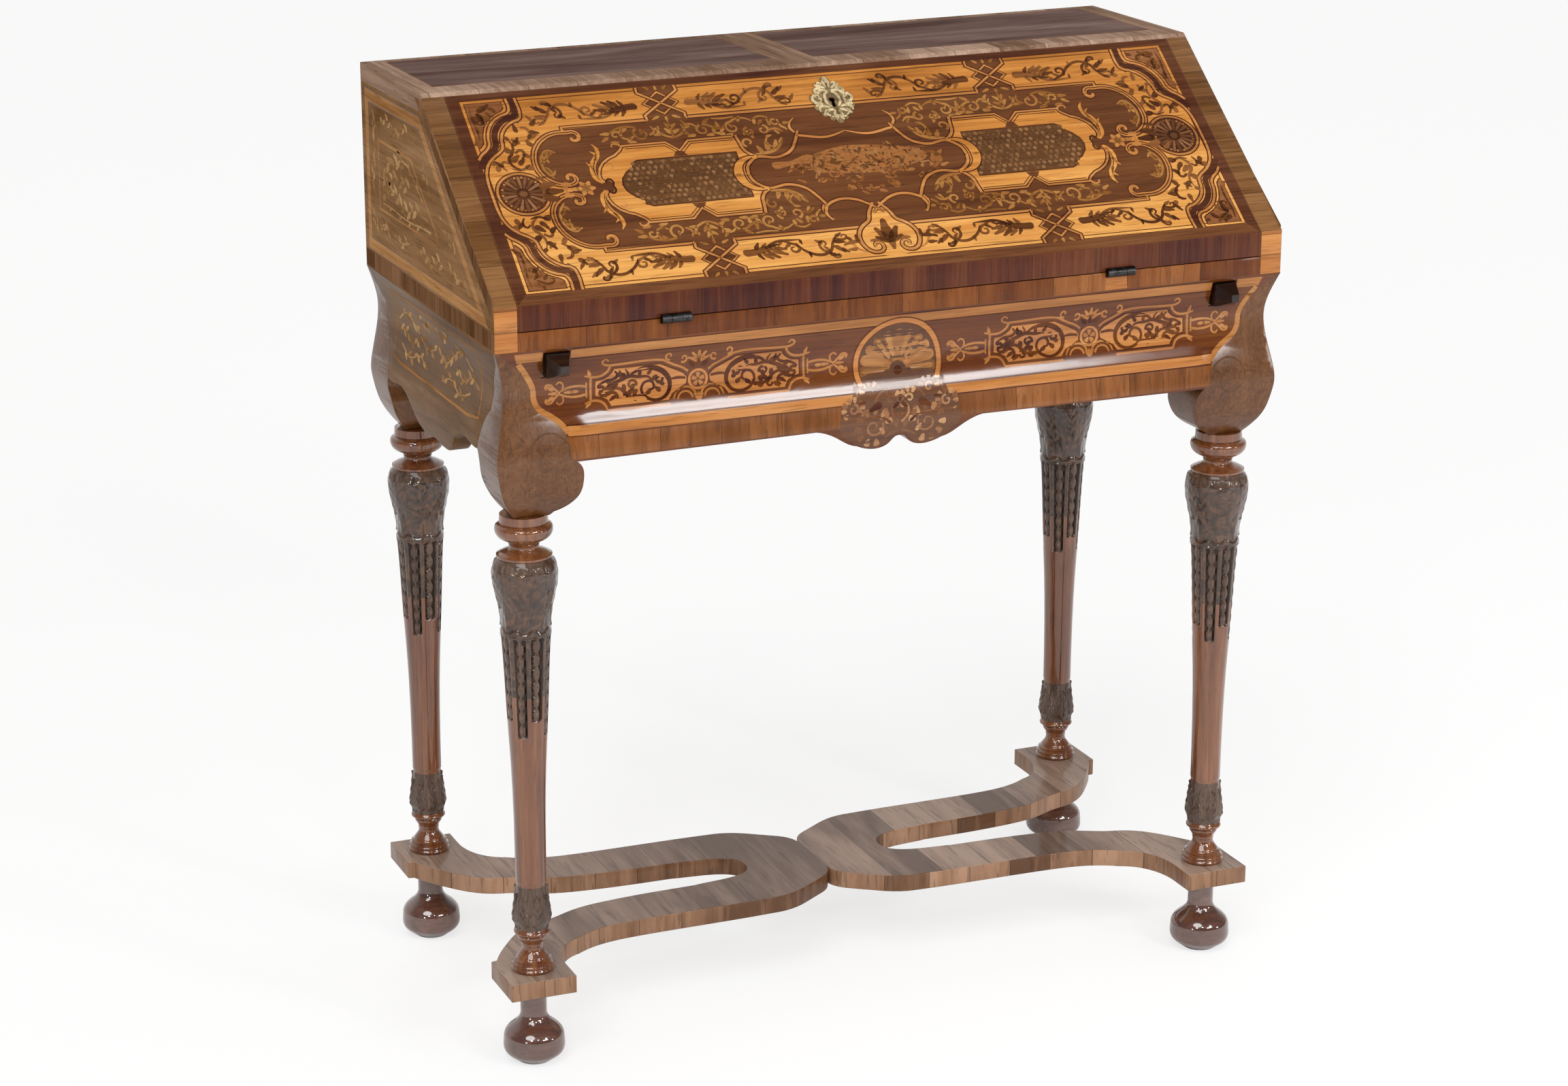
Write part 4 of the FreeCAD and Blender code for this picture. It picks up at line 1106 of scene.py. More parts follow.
def rectangle(low, high, margin=0):
    """The corners of a rectangle that lies a margin inside two given corners."""
    left, foot, right, head = low[0] + margin, low[1] + margin, high[0] - margin, high[1] - margin
    return [(left, foot), (right, foot), (right, head), (left, head)]


fall_gap = 0.7
face_half = fall_half / mm - fall_gap
outer = rectangle((-face_half, fall_gap), (face_half, face_top))
frame_corners = ((-frame_x, frame_low), (frame_x, frame_high))
inner = rectangle(*frame_corners)
strips = []
for i in range(4):
    j = (i + 1) % 4
    strips.append(panels([[outer[i], outer[j], inner[j], inner[i]]], straight=True))
on_the_fall("border", gathered(strips[1:]), 0.04, "walnut_border")
on_the_fall("border_foot", strips[0], 0.04, "lower_border")
keyhole_room = [(-6, keyhole_s - 12), (6, keyhole_s - 12), (6, keyhole_s + 7), (-6, keyhole_s + 7)]
on_the_fall("frame", panels([inner, keyhole_room], straight=True), 0.05, "fruitwood_orange")
for name, margin, width in (("frame_line", 4.6, 1.5), ("frame_rim", 0.5, 1.3)):
    on_the_fall(name, bands([rectangle(*frame_corners, margin)], width, True, True), 0.09, "dark_line")

# %% The brown field with its scrolled ends
field_high = 213.5
scroll_arc = [
    (291, 210), (305, 208.5), (317, 203), (326, 194), (331.5, 183), (333.5, 171), (331.5, 159),
    (325, 149.5), (314, 143.3)]
quarter = [(5, field_high), (293, field_high)] + scroll_arc + [(308, 142), (304, middle)]
half_field = [(5, keyhole_s - 12)] + folded(quarter) + [(5, 2 * middle - keyhole_s + 12)]
on_the_fall("field", panels([both_sides(half_field)], straight=True), 0.09, "walnut_field")
outlined("field_string", [[(5, 216), (161, 216)], [(203, 216), (294, 216), (294, 211)]], 2.8,
         straight=True)
upper_curl = spiral(285.5, 201.5, 8.5, 60, 0.85)[::-1]
lower_curl = spiral(303.5, 150.5, 8.2, -60, -0.95)
arc_line = upper_curl + scroll_arc[1:] + lower_curl[1:]
outlined("end_scrolls", [arc_line], 4.8, height=0.15)
scroll_line = bands([upper_curl[5:] + scroll_arc[1:] + lower_curl[1:4]], 1.1)
on_the_fall("end_scroll_lines", four_ways(scroll_line), 0.23, "dark_line")
tie = [
    (305, 143), (309, 140), (310, middle), (309, 132), (305, 129), (316, 129), (314, 132), (313, middle),
    (314, 140), (316, 143)]
rosette = [leaf((291, middle), a, 10, 7) for a in range(0, 360, 60)] + [leaf((299, middle), 0, 9, 5)]
on_the_fall("end_ties", both_ends(filled([tie] + rosette)), 0.24, "pale_string")

# %% Strapwork corners
inner_strap = [
    (331, 259), (331, 237), (333, 232), (342, 228), (349.5, 222.5), (355.5, 215), (359, 205.5),
    (360.5, 196), (365, 190.5), (372.5, 185), (379.5, 178), (384.5, 168.5), (387, 156), (387.6, middle)]
dark_strap = [
    (335.7, 259), (335.7, 240), (338, 236), (345.5, 233), (353.5, 228.5), (360, 221.5), (364.5, 212),
    (366.5, 200), (369.5, 194.5), (378, 188), (385, 180), (389, 172)]
outer_strap = [
    (340.5, 259), (340.5, 245), (343, 240.5), (352.5, 236.5), (361, 230.5), (367.5, 221.5),
    (371.5, 210.5), (373, 201), (376.5, 195.5), (384.5, 188.5), (388.5, 183)]
on_the_fall("corner_strap", four_ways(bands([dark_strap], 6.5)), 0.10, "walnut_border")
outlined("corner_strings", [inner_strap, outer_strap], 2.6)
spandrel = [
    (346, 255.5), (346, 246.5), (349, 243.5), (357, 239.5), (366, 233), (372.5, 223.5), (376.5, 212.5),
    (378, 203.5), (382, 198.5), (384.6, 197), (384.6, 255.5)]
on_the_fall("spandrels", four_ways(panels([spandrel], straight=True)), 0.11, "red_orange")
on_the_fall("spandrel_lines", four_ways(bands([spandrel], 1.3, closed=True, straight=True)), 0.13,
            "dark_line")

# %% Knots of crossed straps in the frame
knot_x, knot_s = 182.0, 237.0
notched = [(20.5, 23), (21, 15), (9.6, 6.8), (18, 0), (9.6, -6.8), (21, -15), (20.5, -24)]
knot_ground = both_sides(notched)
on_the_fall("knot_ground", four_ways(panels([shifted(knot_ground, knot_x, knot_s)], straight=True)),
            0.10, "walnut_field")
strap = [(-20.5, 22), (-21, 15), (21, -15), (20.5, -21)]
straps = [strap, shifted(strap, 0, 0, -1)]
diamond = [(-18, 0), (0, 14.5), (18, 0), (0, -14.5)]
outlined("knot_diamond", [shifted(diamond, knot_x, knot_s)], 2.6, straight=True, closed=True,
         height=0.12, edge=3.0)
outlined("knot_straps", [shifted(line, knot_x, knot_s) for line in straps], 2.6, straight=True,
         height=0.18, edge=3.0)
flecks = [leaf((knot_x + x, knot_s + s), a, n, 3.4) for x, s, a, n in (
    (0, 17, 90, 6), (-7, 18, 140, 7), (7, 18, 40, 7), (0, -18, -90, 7), (-7, -17.5, 205, 9),
    (7, -17.5, -25, 9))]
on_the_fall("knot_flecks", four_ways(filled(flecks)), 0.22, "light_scroll")
print("frame of the fall")

# %% [markdown]
# The frame is filled with a running scroll in dark wood: a torch-like bar at each knot, from
# which flames and a stem come, the stem curls back and puts out leaves. One length of it is
# drawn from its knot outwards, and used eight times with its mirror images.

# %% Running scrolls in the frame
torch = [
    (0, -4), (1.5, 2), (8, 2.6), (16, 1.6), (25, -1), (31, -4), (26, -8), (16, -6.5), (8, -5.6),
    (1.5, -5.4)]
flames = [
    (15, 0, 78, 9, 4.5, -0.3), (20, -1, 62, 13, 5.5, -0.3), (25, -2, 52, 15, 6, -0.2),
    (30, -4, 38, 18, 6, -0.15), (33, -5, 18, 14, 5, -0.1), (28, -6, -30, 11, 4.5, 0.3),
    (14, -4, -78, 10, 5, 0.3), (21, -6, -55, 8, 4, 0.2)]
scroll_leaves = [
    (51, -9, 118, 9, 4.5, 0.4), (44, -12, 150, 8, 4, -0.3), (62, -12, 60, 6, 3.5, 0.3),
    (68, 4, 75, 7, 4, 0.3), (88, 8, 40, 10, 5, -0.4), (95, 0, 20, 13, 6, 0.4),
    (97, -5, -10, 12, 5.5, 0.3), (101, -11, -50, 8, 4.5, 0.3), (90, 5, -150, 8, 4.5, 0.4),
    (84, -4, -120, 8, 5, -0.4), (103, 3, 60, 9, 4.5, -0.3), (112, -9, 30, 9, 4.5, 0.4)]
scroll_stems = [
    [(24, -5), (32, -10, 0.9), (40, -12.6), (50, -12.6, 0.9), (63, -12, 0.3)],
    [(44, -12.5, 0.6), (51, -9, 0.9), (57, -5.5), (59, -1), (56, 2.5, 0.9), (51.5, 1.5, 0.8),
     (51, -2.5, 0.7), (54.5, -3.5, 0.5)],
    [(57, -8, 0.5), (61, -1, 0.9), (68, 5.5), (77, 9.2, 1.1), (86, 8, 1.1), (92, 3.5), (95, -3, 0.9),
     (98.5, -8.5, 0.9), (101, -12, 0.5)],
    [(87, 7, 0.7), (82.5, 3), (81, -3, 0.9), (84, -7.5, 0.8), (88, -5, 0.6), (86.5, -1.5, 0.5)],
    [(90, 6, 0.6), (91, 11.5, 0.8), (95, 14.5, 0.8), (98.5, 12.5, 0.7), (97, 9.5, 0.5)],
    [(99, -10, 0.6), (105, -7.5, 0.8), (110.5, -8, 0.8), (112, -11.5, 0.7), (108.5, -13, 0.6),
     (106.5, -10.5, 0.5)]]
stems, shapes = [], []
for start, sign in ((208, 1), (157, -1)):
    stems += [shifted(line, start, knot_s - 0.5, sign) for line in scroll_stems]
    scroll_shapes = [torch] + leaves_from(flames + scroll_leaves)
    shapes += [shifted(shape, start, knot_s - 0.5, sign) for shape in scroll_shapes]
on_the_fall("running_scrolls", four_ways(drawing(stems, shapes, 3.3)), 0.16, "ebony_scroll")

end_stems = [
    [(350, 166, 0.6), (357, 173, 0.9), (358, 181), (353, 188), (350, 196, 0.8), (352, 206, 0.3)],
    [(350, 188, 0.8), (343, 191), (341, 185, 0.8), (345, 180, 0.5)],
    [(336, 220, 0.6), (331, 219), (328, 213), (330, 206, 0.9), (336, 201, 0.5)],
    [(364, 166, 0.5), (367, 173, 0.8), (364, 178, 0.8), (360, 175, 0.5)],
    [(339, 172, 0.4), (344, 168, 0.9), (350, 166, 0.9), (358, 168, 0.4)]]
end_leaves = [leaf((x, s), a, n * 1.2, w * 1.25, b) for x, s, a, n, w, b in (
    (331, 205, 130, 10, 6, 0.4), (333, 202, -100, 9, 5, -0.4), (353, 190, 20, 11, 6, 0.4),
    (350, 198, 150, 10, 5, -0.4), (357, 178, 160, 10, 6, -0.3), (345, 168, 170, 11, 6, 0.3),
    (352, 205, 60, 8, 4, -0.3), (340, 214, 60, 9, 4.5, 0.4), (366, 172, 30, 8, 4, 0.3),
    (328, 213, 170, 8, 4.5, 0.4), (349, 172, 110, 9, 5, 0.3), (356, 203, -10, 7, 4, 0.3),
    (372, 166, 80, 9, 5, 0.3), (376, 174, 110, 9, 5, -0.3), (343, 186, 200, 8, 5, 0.3),
    (341, 200, 20, 8, 4, 0.3), (325, 222, 150, 9, 5, -0.3), (337, 226, 100, 8, 4, 0.3))]
on_the_fall("end_sprays", four_ways(drawing(end_stems, end_leaves, 3.4)), 0.16, "ebony_scroll")
spandrel_stems = [
    [(373, 243, 0.8), (364, 248), (357, 247, 0.9), (356, 243, 0.7), (360, 242, 0.5)],
    [(375, 242, 0.8), (371, 235), (373, 228, 0.9), (377, 229, 0.7), (376, 233, 0.5)],
    [(380, 250, 0.5), (381.5, 238), (380, 222), (380.5, 208, 0.4)]]
spandrel_leaves = leaves_from([
    (375, 243, -115, 16, 7, 0.2), (374, 245, 165, 16, 7, -0.3), (376, 246, 120, 9, 6, 0.3),
    (372, 240, -150, 14, 6, 0.3), (378, 240, -70, 12, 6, -0.3), (380, 222, -120, 10, 5.5, 0.3),
    (380, 214, -70, 14, 5.5, 0.2), (362, 248, 200, 11, 5, 0.4), (367, 250, 60, 6, 4, 0.3),
    (351, 248, 130, 7, 5, 0.3), (375, 233, -160, 10, 5, 0.3), (366, 243, -140, 9, 4.5, 0.2)])
on_the_fall("spandrel_sprays", four_ways(drawing(spandrel_stems, spandrel_leaves, 2.8)), 0.16,
            "ebony_scroll")
print("scrolls in the frame")

# %% Shell roundels at the ends
shell_x = 356.0
shell_size = 24.5


def petals(across, up, count, near, far, width, start=0.0, sweep=360.0):
    """Rounded petals round a centre, widest near their ends."""
    outlines = []
    half = [(near, 0.12), (near * 0.4 + far * 0.6, 0.42), (far * 0.93, 0.46)]
    petal_shape = half + [(far, 0.0)] + [(along, -out) for along, out in reversed(half)]
    for i in range(count):
        turn = Matrix.Rotation(radians(start + sweep * (i + 0.5) / count), 2)
        outline = []
        for along, out in petal_shape:
            point = turn @ Vector((along, out * width))
            outline.append((across + point.x, up + point.y))
        outlines.append(outline)
    return outlines


for name, wider, height, finish in (
        ("shell_rim", 2.6, 0.12, "pale_string"), ("shell_ground", 0, 0.14, "walnut_border")):
    disc = dot(shell_x, middle, shell_size + wider, 28)
    on_the_fall(name, both_ends(panels([disc])), height, finish)
shell_line = bands([dot(shell_x, middle, shell_size + 3.1, 28)], 1.3, closed=True)
on_the_fall("shell_line", both_ends(shell_line), 0.16, "dark_line")
ribs = petals(shell_x, middle, 18, 7, 22.5, 3.4)
on_the_fall("shell_ribs", both_ends(filled(ribs + [dot(shell_x, middle, 4)])), 0.18, "shell_rib")
beads = [dot(x, s, 1.3, 6) for x, s in dot(shell_x, middle, 21, 18)]
on_the_fall("shell_beads", both_ends(filled(beads)), 0.18, "light_scroll")
neck = [(331, middle), (327, 141), (320, 145), (326, 149), (333, 148), (337, 143)]
neck_shapes = [neck, below(neck), leaf((334, middle), 180, 20, 9)]
neck_shapes += [leaf((339, middle + side * 16), 90 + side * 60, 12, 5, 0.3) for side in (-1, 1)]
on_the_fall("shell_neck", both_ends(filled(neck_shapes)), 0.20, "ebony_scroll")
print("shells")

# %% [markdown]
# Inside the brown field the drawing turns light on dark. The side cartouches are orange
# frames round a panel of small diaper, whose dots are pale discs on a dark ground. They
# are laid out in staggered rows, and a row keeps only the discs that fall in the panel.

# %% Side cartouches
cartouche = [
    (121, 185.5), (169, 185.5), (181, 173.5), (193, 185.5), (239, 185.5), (243, 180), (250, 174.5),
    (258, 171), (265, 166), (270, 159.5), (272.8, 152), (273, 146), (269.5, 141), (265, 144),
    (262.5, 140), (263, middle)]
inner_side = [(118.5, 176), (116, 167), (111, 160), (104, 157), (112, 152), (117.5, 145), (119.5, middle)]
outline = folded(cartouche) + below(inner_side) + inner_side[-2::-1]
on_the_fall("cartouche_frame", both_ends(panels([outline], straight=True)), 0.13, "fruitwood_orange")
bulge = [(123.5, 165.5), (123.5, 158), (130, 151), (134, 143), (135, middle)]
octagon = [(229, 165.5), (233.5, 163), (236, 157), (244, 152), (250.5, 144), (252.5, middle)]
octagon = folded(octagon) + below(bulge) + bulge[-2::-1]
on_the_fall("diaper_ground", both_ends(panels([octagon], straight=True)), 0.16, "diaper_dark")
on_the_fall("diaper_edge", both_ends(bands([octagon], 1.6, True, True)), 0.19, "dark_line")
outlined("cartouche_edge", [cartouche[:-3]], 2.2, straight=True, height=0.17)
notch = [(174.5, 166.5), (189.5, 166.5), (187, 171), (182, 175.5), (177, 171)]
on_the_fall("cartouche_notch", four_ways(panels([notch], straight=True)), 0.15, "walnut_field")
inline = [(121, 181.2), (167, 181.2), (181, 167.5), (195, 181.2), (237, 181.2)]
on_the_fall("cartouche_inline", four_ways(bands([inline], 1.0, straight=True)), 0.18, "dark_line")
small_curl = [(269.5, 141, 0.8), (265, 145), (261.5, 141.5, 0.9), (262.5, middle, 0.8)]
horns = [[(240, 184.8), (244, 188.5), (249, 188, 0.8), (250, 184.5, 0.5)],
         [(263, 161, 0.6), (259, 164), (256, 160, 0.7), (259, 157.5, 0.5)]]
on_the_fall("cartouche_curls", four_ways(bands([small_curl], 2.4)), 0.22, "dark_line")
on_the_fall("cartouche_horns", four_ways(bands(horns, 2.2)), 0.24, "pale_string")
flame_lines = [
    [(269.5, 191, 0.12), (266.2, 184, 0.6), (268, 176, 0.85), (274.5, 167, 1), (278, 156, 1),
     (276.8, 147, 0.9), (272, 140.5, 0.4)],
    [(274, 182, 0.1), (269.5, 177, 0.5), (272, 169, 0.6)],
    [(282, 168, 0.1), (278, 163, 0.5), (276, 156, 0.5)]]
on_the_fall("flames", four_ways(bands(flame_lines, 6.0)), 0.19, "fruitwood_orange")
flame_heart = [(267.5, 181, 0.5), (271, 172), (275.5, 162), (276.5, 152), (274, 144, 0.5)]
on_the_fall("flame_lines", four_ways(bands([flame_heart], 0.9)), 0.24, "dark_line")

dot_pitch = 6.4
discs, cores = [], []
for row in range(-4, 5):
    for column in range(-11, 11):
        across = 190 + dot_pitch * (column + (0.5 if row % 2 else 0))
        up_at = middle + dot_pitch * row
        rise = abs(up_at - middle)
        reach = 249 - (0.18 * rise if rise < 16 else 2.9 + 1.05 * (rise - 16))
        near = 138 - 0.55 * rise
        if near < across < reach and rise < 27:
            discs.append(dot(across, up_at, 2.1, 6))
            core_at = across - dot_pitch / 2
            if near < core_at:
                core_rise = dot_pitch / 2 if row < 4 else 0
                cores.append(dot(core_at, up_at + core_rise, 0.8, 4))
on_the_fall("diaper_discs", both_ends(filled(discs)), 0.20, "diaper_disc")
on_the_fall("diaper_cores", both_ends(filled(cores)), 0.20, "diaper_disc")
print(len(discs), "discs in a diaper")

# %% Middle cartouche and the scrollwork of the field
end_line = [
    (119.5, middle), (117.5, 145), (112, 151.5), (103, 156.5), (94, 155.5), (86, 154), (76, 155.5),
    (65, 161.5), (58, 171), (53, 180), (50, 186, 0.7)]
top_link = [
    (54, 180, 0.9), (46, 178.5), (36, 176), (24, 174.5), (14, 176, 0.8), (5, 179, 0.5), (0, 181, 0.3)]
arc_back = [(117.5, 187), (116, 177), (114.5, 168), (110, 161.5), (103, 156.5)]
tail = [(54, 184), (57, 190, 0.9), (55, 197, 0.7), (49, 203, 0.3)]
outlined("middle_strings", [end_line, arc_back, tail], 3.0)
outlined("top_links", [top_link], 3.0, ways=both_ends)
crescent = [
    (104, 157.5), (115, 157.5), (125, 153), (132, 144.5), (134, middle), (125.5, middle), (123.5, 145),
    (117, 152)]
on_the_fall("crescents", four_ways(panels([crescent])), 0.19, "fruitwood_orange")
crescent_lines = [
    [(106, 158.6), (116, 158.6), (126, 154), (133, 145), (135, middle)],
    [(109, 156), (118, 151), (122.5, 145), (124, middle)]]
on_the_fall("crescent_lines", four_ways(bands(crescent_lines, 1.3)), 0.22, "dark_line")

curls = [spiral(*row, 0.32) for row in (
    (117, 197, 8.2, 95, -0.95), (149, 197.5, 7, 75, -0.95), (214, 199, 9, 60, -0.95),
    (86, 191, 6.2, 100, 0.95), (101, 190, 6.4, 80, -0.95), (241, 200, 5.6, 200, -0.9),
    (107, 176, 6.5, -60, 0.85), (71, 201, 5, 200, 0.85))]
field_stems = curls + [
    [(94, 204, 0.5), (103, 208.5, 0.9), (113, 207.5), (116.3, 205.2)],
    [(124, 200, 0.8), (130, 197.5), (137, 199.5), (143, 203.5), (148, 204.5, 0.9)],
    [(154, 202, 0.7), (160, 206.5, 0.8), (167, 206, 0.5)],
    [(218, 207.5, 0.9), (227, 209.5), (238, 208, 0.9), (248, 203, 0.5)],
    [(206, 196, 0.8), (200, 201, 0.9), (202, 208, 0.5)],
    [(223, 196, 0.8), (229, 193.5, 0.9), (236, 196, 0.8)],
    [(182, 190), (182, 199), (182, 212, 0.4)], [(181, 191, 0.7), (174, 194), (168, 200), (170, 207, 0.5)],
    [(183, 191, 0.7), (190, 194), (196, 200), (194, 207, 0.5)],
    [(104, 160, 0.5), (94, 160.5, 1.3), (84, 163, 1.6), (75, 169, 1.2), (69, 178, 0.4)],
    [(82, 167, 0.6), (88, 174, 1), (85, 181, 0.7)], [(66, 186, 0.5), (72, 191, 0.9), (80, 190, 0.9)],
    [(60, 189, 0.6), (66, 195, 0.9), (67, 203, 0.8)], [(76, 206, 0.6), (84, 209, 0.9), (93, 206, 0.7)],
    [(309, 184, 0.5), (317, 188, 0.9), (324, 182), (327, 172), (325, 161), (319, 152, 0.5)],
    [(112, 211, 0.5), (124, 210, 0.9), (136, 211, 0.5)]]
field_leaves = [leaf((x, s), a, n, n * 0.5, b) for x, s, a, n, b in (
    (131, 198, 65, 9, 0.3), (136, 199, -60, 9, -0.3), (127, 198, -70, 8, 0.3), (161, 206, -50, 9, 0.3),
    (164, 207, 30, 7, 0.3), (146, 206, 130, 9, 0.3), (119, 189, -30, 9, 0.4), (127, 190, 0, 10, 0.2),
    (138, 190, 10, 9, -0.2), (158, 192, -20, 9, 0.2), (182, 196, 140, 10, 0.2), (182, 196, 40, 10, 0.2),
    (182, 203, 130, 9, 0.2), (182, 203, 50, 9, 0.2), (171, 197, 200, 9, 0.2), (193, 197, -20, 9, 0.2),
    (200, 203, 160, 7, 0.2), (228, 209, -60, 9, 0.3), (234, 208, -90, 8, 0.2), (227, 195, -70, 7, 0.3),
    (247, 203, -20, 10, 0.3), (250, 198, -50, 9, 0.3), (214, 199, 90, 6, 0), (117, 197, 60, 6, 0),
    (222, 188, 10, 9, 0), (88, 163, 75, 12, 0.2), (95, 161, 55, 11, 0.2), (80, 166, 95, 11, 0.2),
    (74, 171, 110, 9, 0.2), (86, 181, 150, 7, 0.2), (99, 181, 60, 8, 0.3), (108, 186, 120, 8, 0.3),
    (92, 199, 80, 8, 0.3), (109, 204, 100, 8, 0.2), (63, 197, 160, 8, 0.3), (76, 196, 60, 8, 0.3),
    (84, 204, -60, 8, 0.2), (324, 180, 215, 9, 0.4), (327, 172, 160, 8, -0.4), (326, 166, 210, 10, 0.3),
    (318, 187, 265, 10, 0.3), (321, 156, 150, 8, -0.3), (312, 186, 300, 7, 0.4), (322, 160, 60, 6, 0.2),
    (240, 190, 0, 9, 0.2), (70, 184, 40, 7, 0.2))]
on_the_fall("field_scrolls", four_ways(drawing(field_stems, field_leaves, 2.8)), 0.15, "light_scroll")

palm = [(-3, 85, 0.8), (-11, 73), (-15, 63), (-22, 58), (-29, 50), (-31.5, 40), (-29, 30), (-23.5, 24)]
palm += spiral(-16, 30.5, 8.5, 225, 0.95)[1:]
outlined("palm_scrolls", [palm], 3.2, ways=both_ends, height=0.20)
heart = [(0, 80), (9, 72), (15, 61), (22, 56), (28, 48), (30, 39), (27, 29), (18, 20), (0, 17)]
on_the_fall("palm_ground", panels([both_sides(heart)]), 0.16, "fruitwood_orange")
maple = leaves_from([
    (0, 34, 90, 30, 13), (0, 34, 58, 23, 9), (0, 34, 122, 23, 9), (0, 34, 28, 17, 7),
    (0, 34, 152, 17, 7), (0, 40, 270, 16, 8)])
palm_leaves = leaves_from([
    (5, 37, 20, 16, 5.5, -0.35), (-5, 37, 160, 16, 5.5, 0.35), (33, 36, 65, 11, 5, 0.3),
    (35, 38, 12, 15, 5.5, -0.4), (-33, 36, 115, 11, 5, -0.3), (-35, 38, 168, 15, 5.5, 0.4),
    (38, 30, -20, 10, 5, 0.3), (-38, 30, 200, 10, 5, -0.3)])
on_the_fall("palm_leaves", filled(maple + palm_leaves), 0.24, "ebony_scroll")
cross_links = [
    [(52, 86, 0.9), (44, 91), (32, 93.5), (20, 91.5), (10, 86, 0.9), (0, 78, 0.7), (-6, 72, 0.5)],
    [(52, 86), (55, 76, 0.9), (51, 68, 0.6)]]
outlined("palm_links", cross_links, 3.0, ways=both_ends, height=0.18)
wing = [(29, 24, 0.7), (36, 28), (42, 36), (50, 39, 0.4)]
on_the_fall("palm_wings", both_ends(bands([wing], 2.4)), 0.22, "pale_string")
print("field of the fall")

# %% [markdown]
# The picture in the middle is nearly worn away: what is left is a patch of paler wood of
# no clear shape. It is drawn as a mottled lens with dark specks and loose leaves strewn
# over it, placed by a seeded random generator so that each run gives the same ones.

# %% The worn picture in the middle
chance = Random(7)
lens = [
    (-45, 151), (-30, 157), (-10, 161), (10, 160.5), (35, 157.5), (60, 152), (76, 146), (77, 140),
    (70, 134), (54, 129), (35, 126), (14, 123.5), (-10, 125), (-35, 128), (-50, 132), (-47, 141)]
tail_end = [(-92, 143), (-70, 147.5), (-45, 152), (-44, 146), (-66, 143)]
patch = [lens, tail_end, dot(85, 134, 6.5, 10), dot(31, 106, 4.5, 8)]
on_the_fall("worn_patch", filled(patch), 0.12, "worn_patch")


def strewn(count, middle_of, reach, long, wide):
    """Loose leaves at chance places round a point, within a reach across and up."""
    outlines = []
    while len(outlines) < count:
        across, up_at = chance.uniform(-1, 1), chance.uniform(-1, 1)
        if across ** 2 + up_at ** 2 < 1:
            place = (middle_of[0] + across * reach[0], middle_of[1] + up_at * reach[1])
            outlines.append(leaf(place, chance.uniform(0, 360), chance.uniform(*long),
                                 chance.uniform(*wide), 0.2))
    return outlines


fragments = []
for count, middle_of, reach in (
        (9, (68, 121), (17, 6)), (8, (-48, 120), (20, 4)), (9, (0, 105), (30, 4)),
        (6, (-8, 115), (5, 7)), (6, (26, 116), (6, 7)),
        (8, (86, 133), (7, 11)), (10, (-62, 137), (24, 4)), (14, (10, 124), (52, 5))):
    fragments += strewn(count, middle_of, reach, (5, 10), (2.5, 5))
on_the_fall("worn_fragments", filled(fragments), 0.13, "worn_patch")
lens_middle, lens_reach = (14, 142), (66, 17)
loose_leaves = strewn(60, lens_middle, lens_reach, (5, 11), (2.5, 5))
specks = strewn(100, lens_middle, lens_reach, (2, 5), (1.6, 3.4))
on_the_fall("worn_leaves", filled(loose_leaves), 0.14, "faded_scroll")
on_the_fall("worn_specks", filled(specks), 0.16, "walnut_field")
print("worn picture")

# %% [markdown]
# The frieze under the fall swells out and tucks in, and its veneers follow it. A pale string
# runs along its top and down beside each ear, a dark field carries two long cartouches and a
# shell roundel, and a cross-grained band runs along the lower edge. The drawing is made for
# the right half and mirrored. It is cut across every two millimetres, and upright too near
# the ears, so that it can bend.

# %% Bands of the frieze
side_frieze_cuts = [((0, 1, 0), 615, 757, 2.0)]
frieze_cuts = side_frieze_cuts + [((1, 0, 0), 324, 354, 6.0), ((1, 0, 0), -354, -324, 6.0)]


def on_the_frieze(name, sheet, height, finish):
    return inlay("frieze_" + name, sheet, height, finish, on_front, "case", frieze_cuts)


pull_in, pull_out = 347.0, 376.0
top_string = [[(0, 745), (pull_in, 745), (pull_in, 754.5), (0, 754.5)],
              [(pull_out, 745), (402, 745), (405, 754.5), (pull_out, 754.5)]]
on_the_frieze("top_string", both_ends(panels(top_string, straight=True)), 0.14, "frieze_string")
low_band = [[(0, 667.4), (350, 667.4), (353, 677.2), (0, 677.2)]]
on_the_frieze("low_band", both_ends(panels(low_band, straight=True)), 0.14, "frieze_orange")
low_edge = 644.3
crossbanding = [[(0, low_edge), (347, low_edge), (352, 666.6), (0, 666.6)]]
on_the_frieze("crossbanding", both_ends(panels(crossbanding, straight=True)), 0.13, "frieze_banding")
ear_line = [
    (400, 744), (391, 731), (384, 717), (382.5, 704), (378, 696), (366, 687.5), (357, 680), (350, 671)]
on_the_frieze("ear_string", both_ends(bands([ear_line], 5.6)), 0.15, "frieze_string")
thin = [[(0, z), (end, z)] for z, end in ((744.2, pull_in), (754.8, pull_in), (677.9, 352), (666.8, 350))]
on_the_frieze("fine_lines", both_ends(bands(thin, 1.4)), 0.18, "frieze_line")

# %% Long cartouches of the frieze
centre_x, centre_z = 213.0, 709.5


def about_centre(lines):
    """A drawing and its mirror image, set at the middle of a cartouche."""
    return [shifted(line, centre_x, centre_z, sign) for sign in (-1, 1) for line in lines]


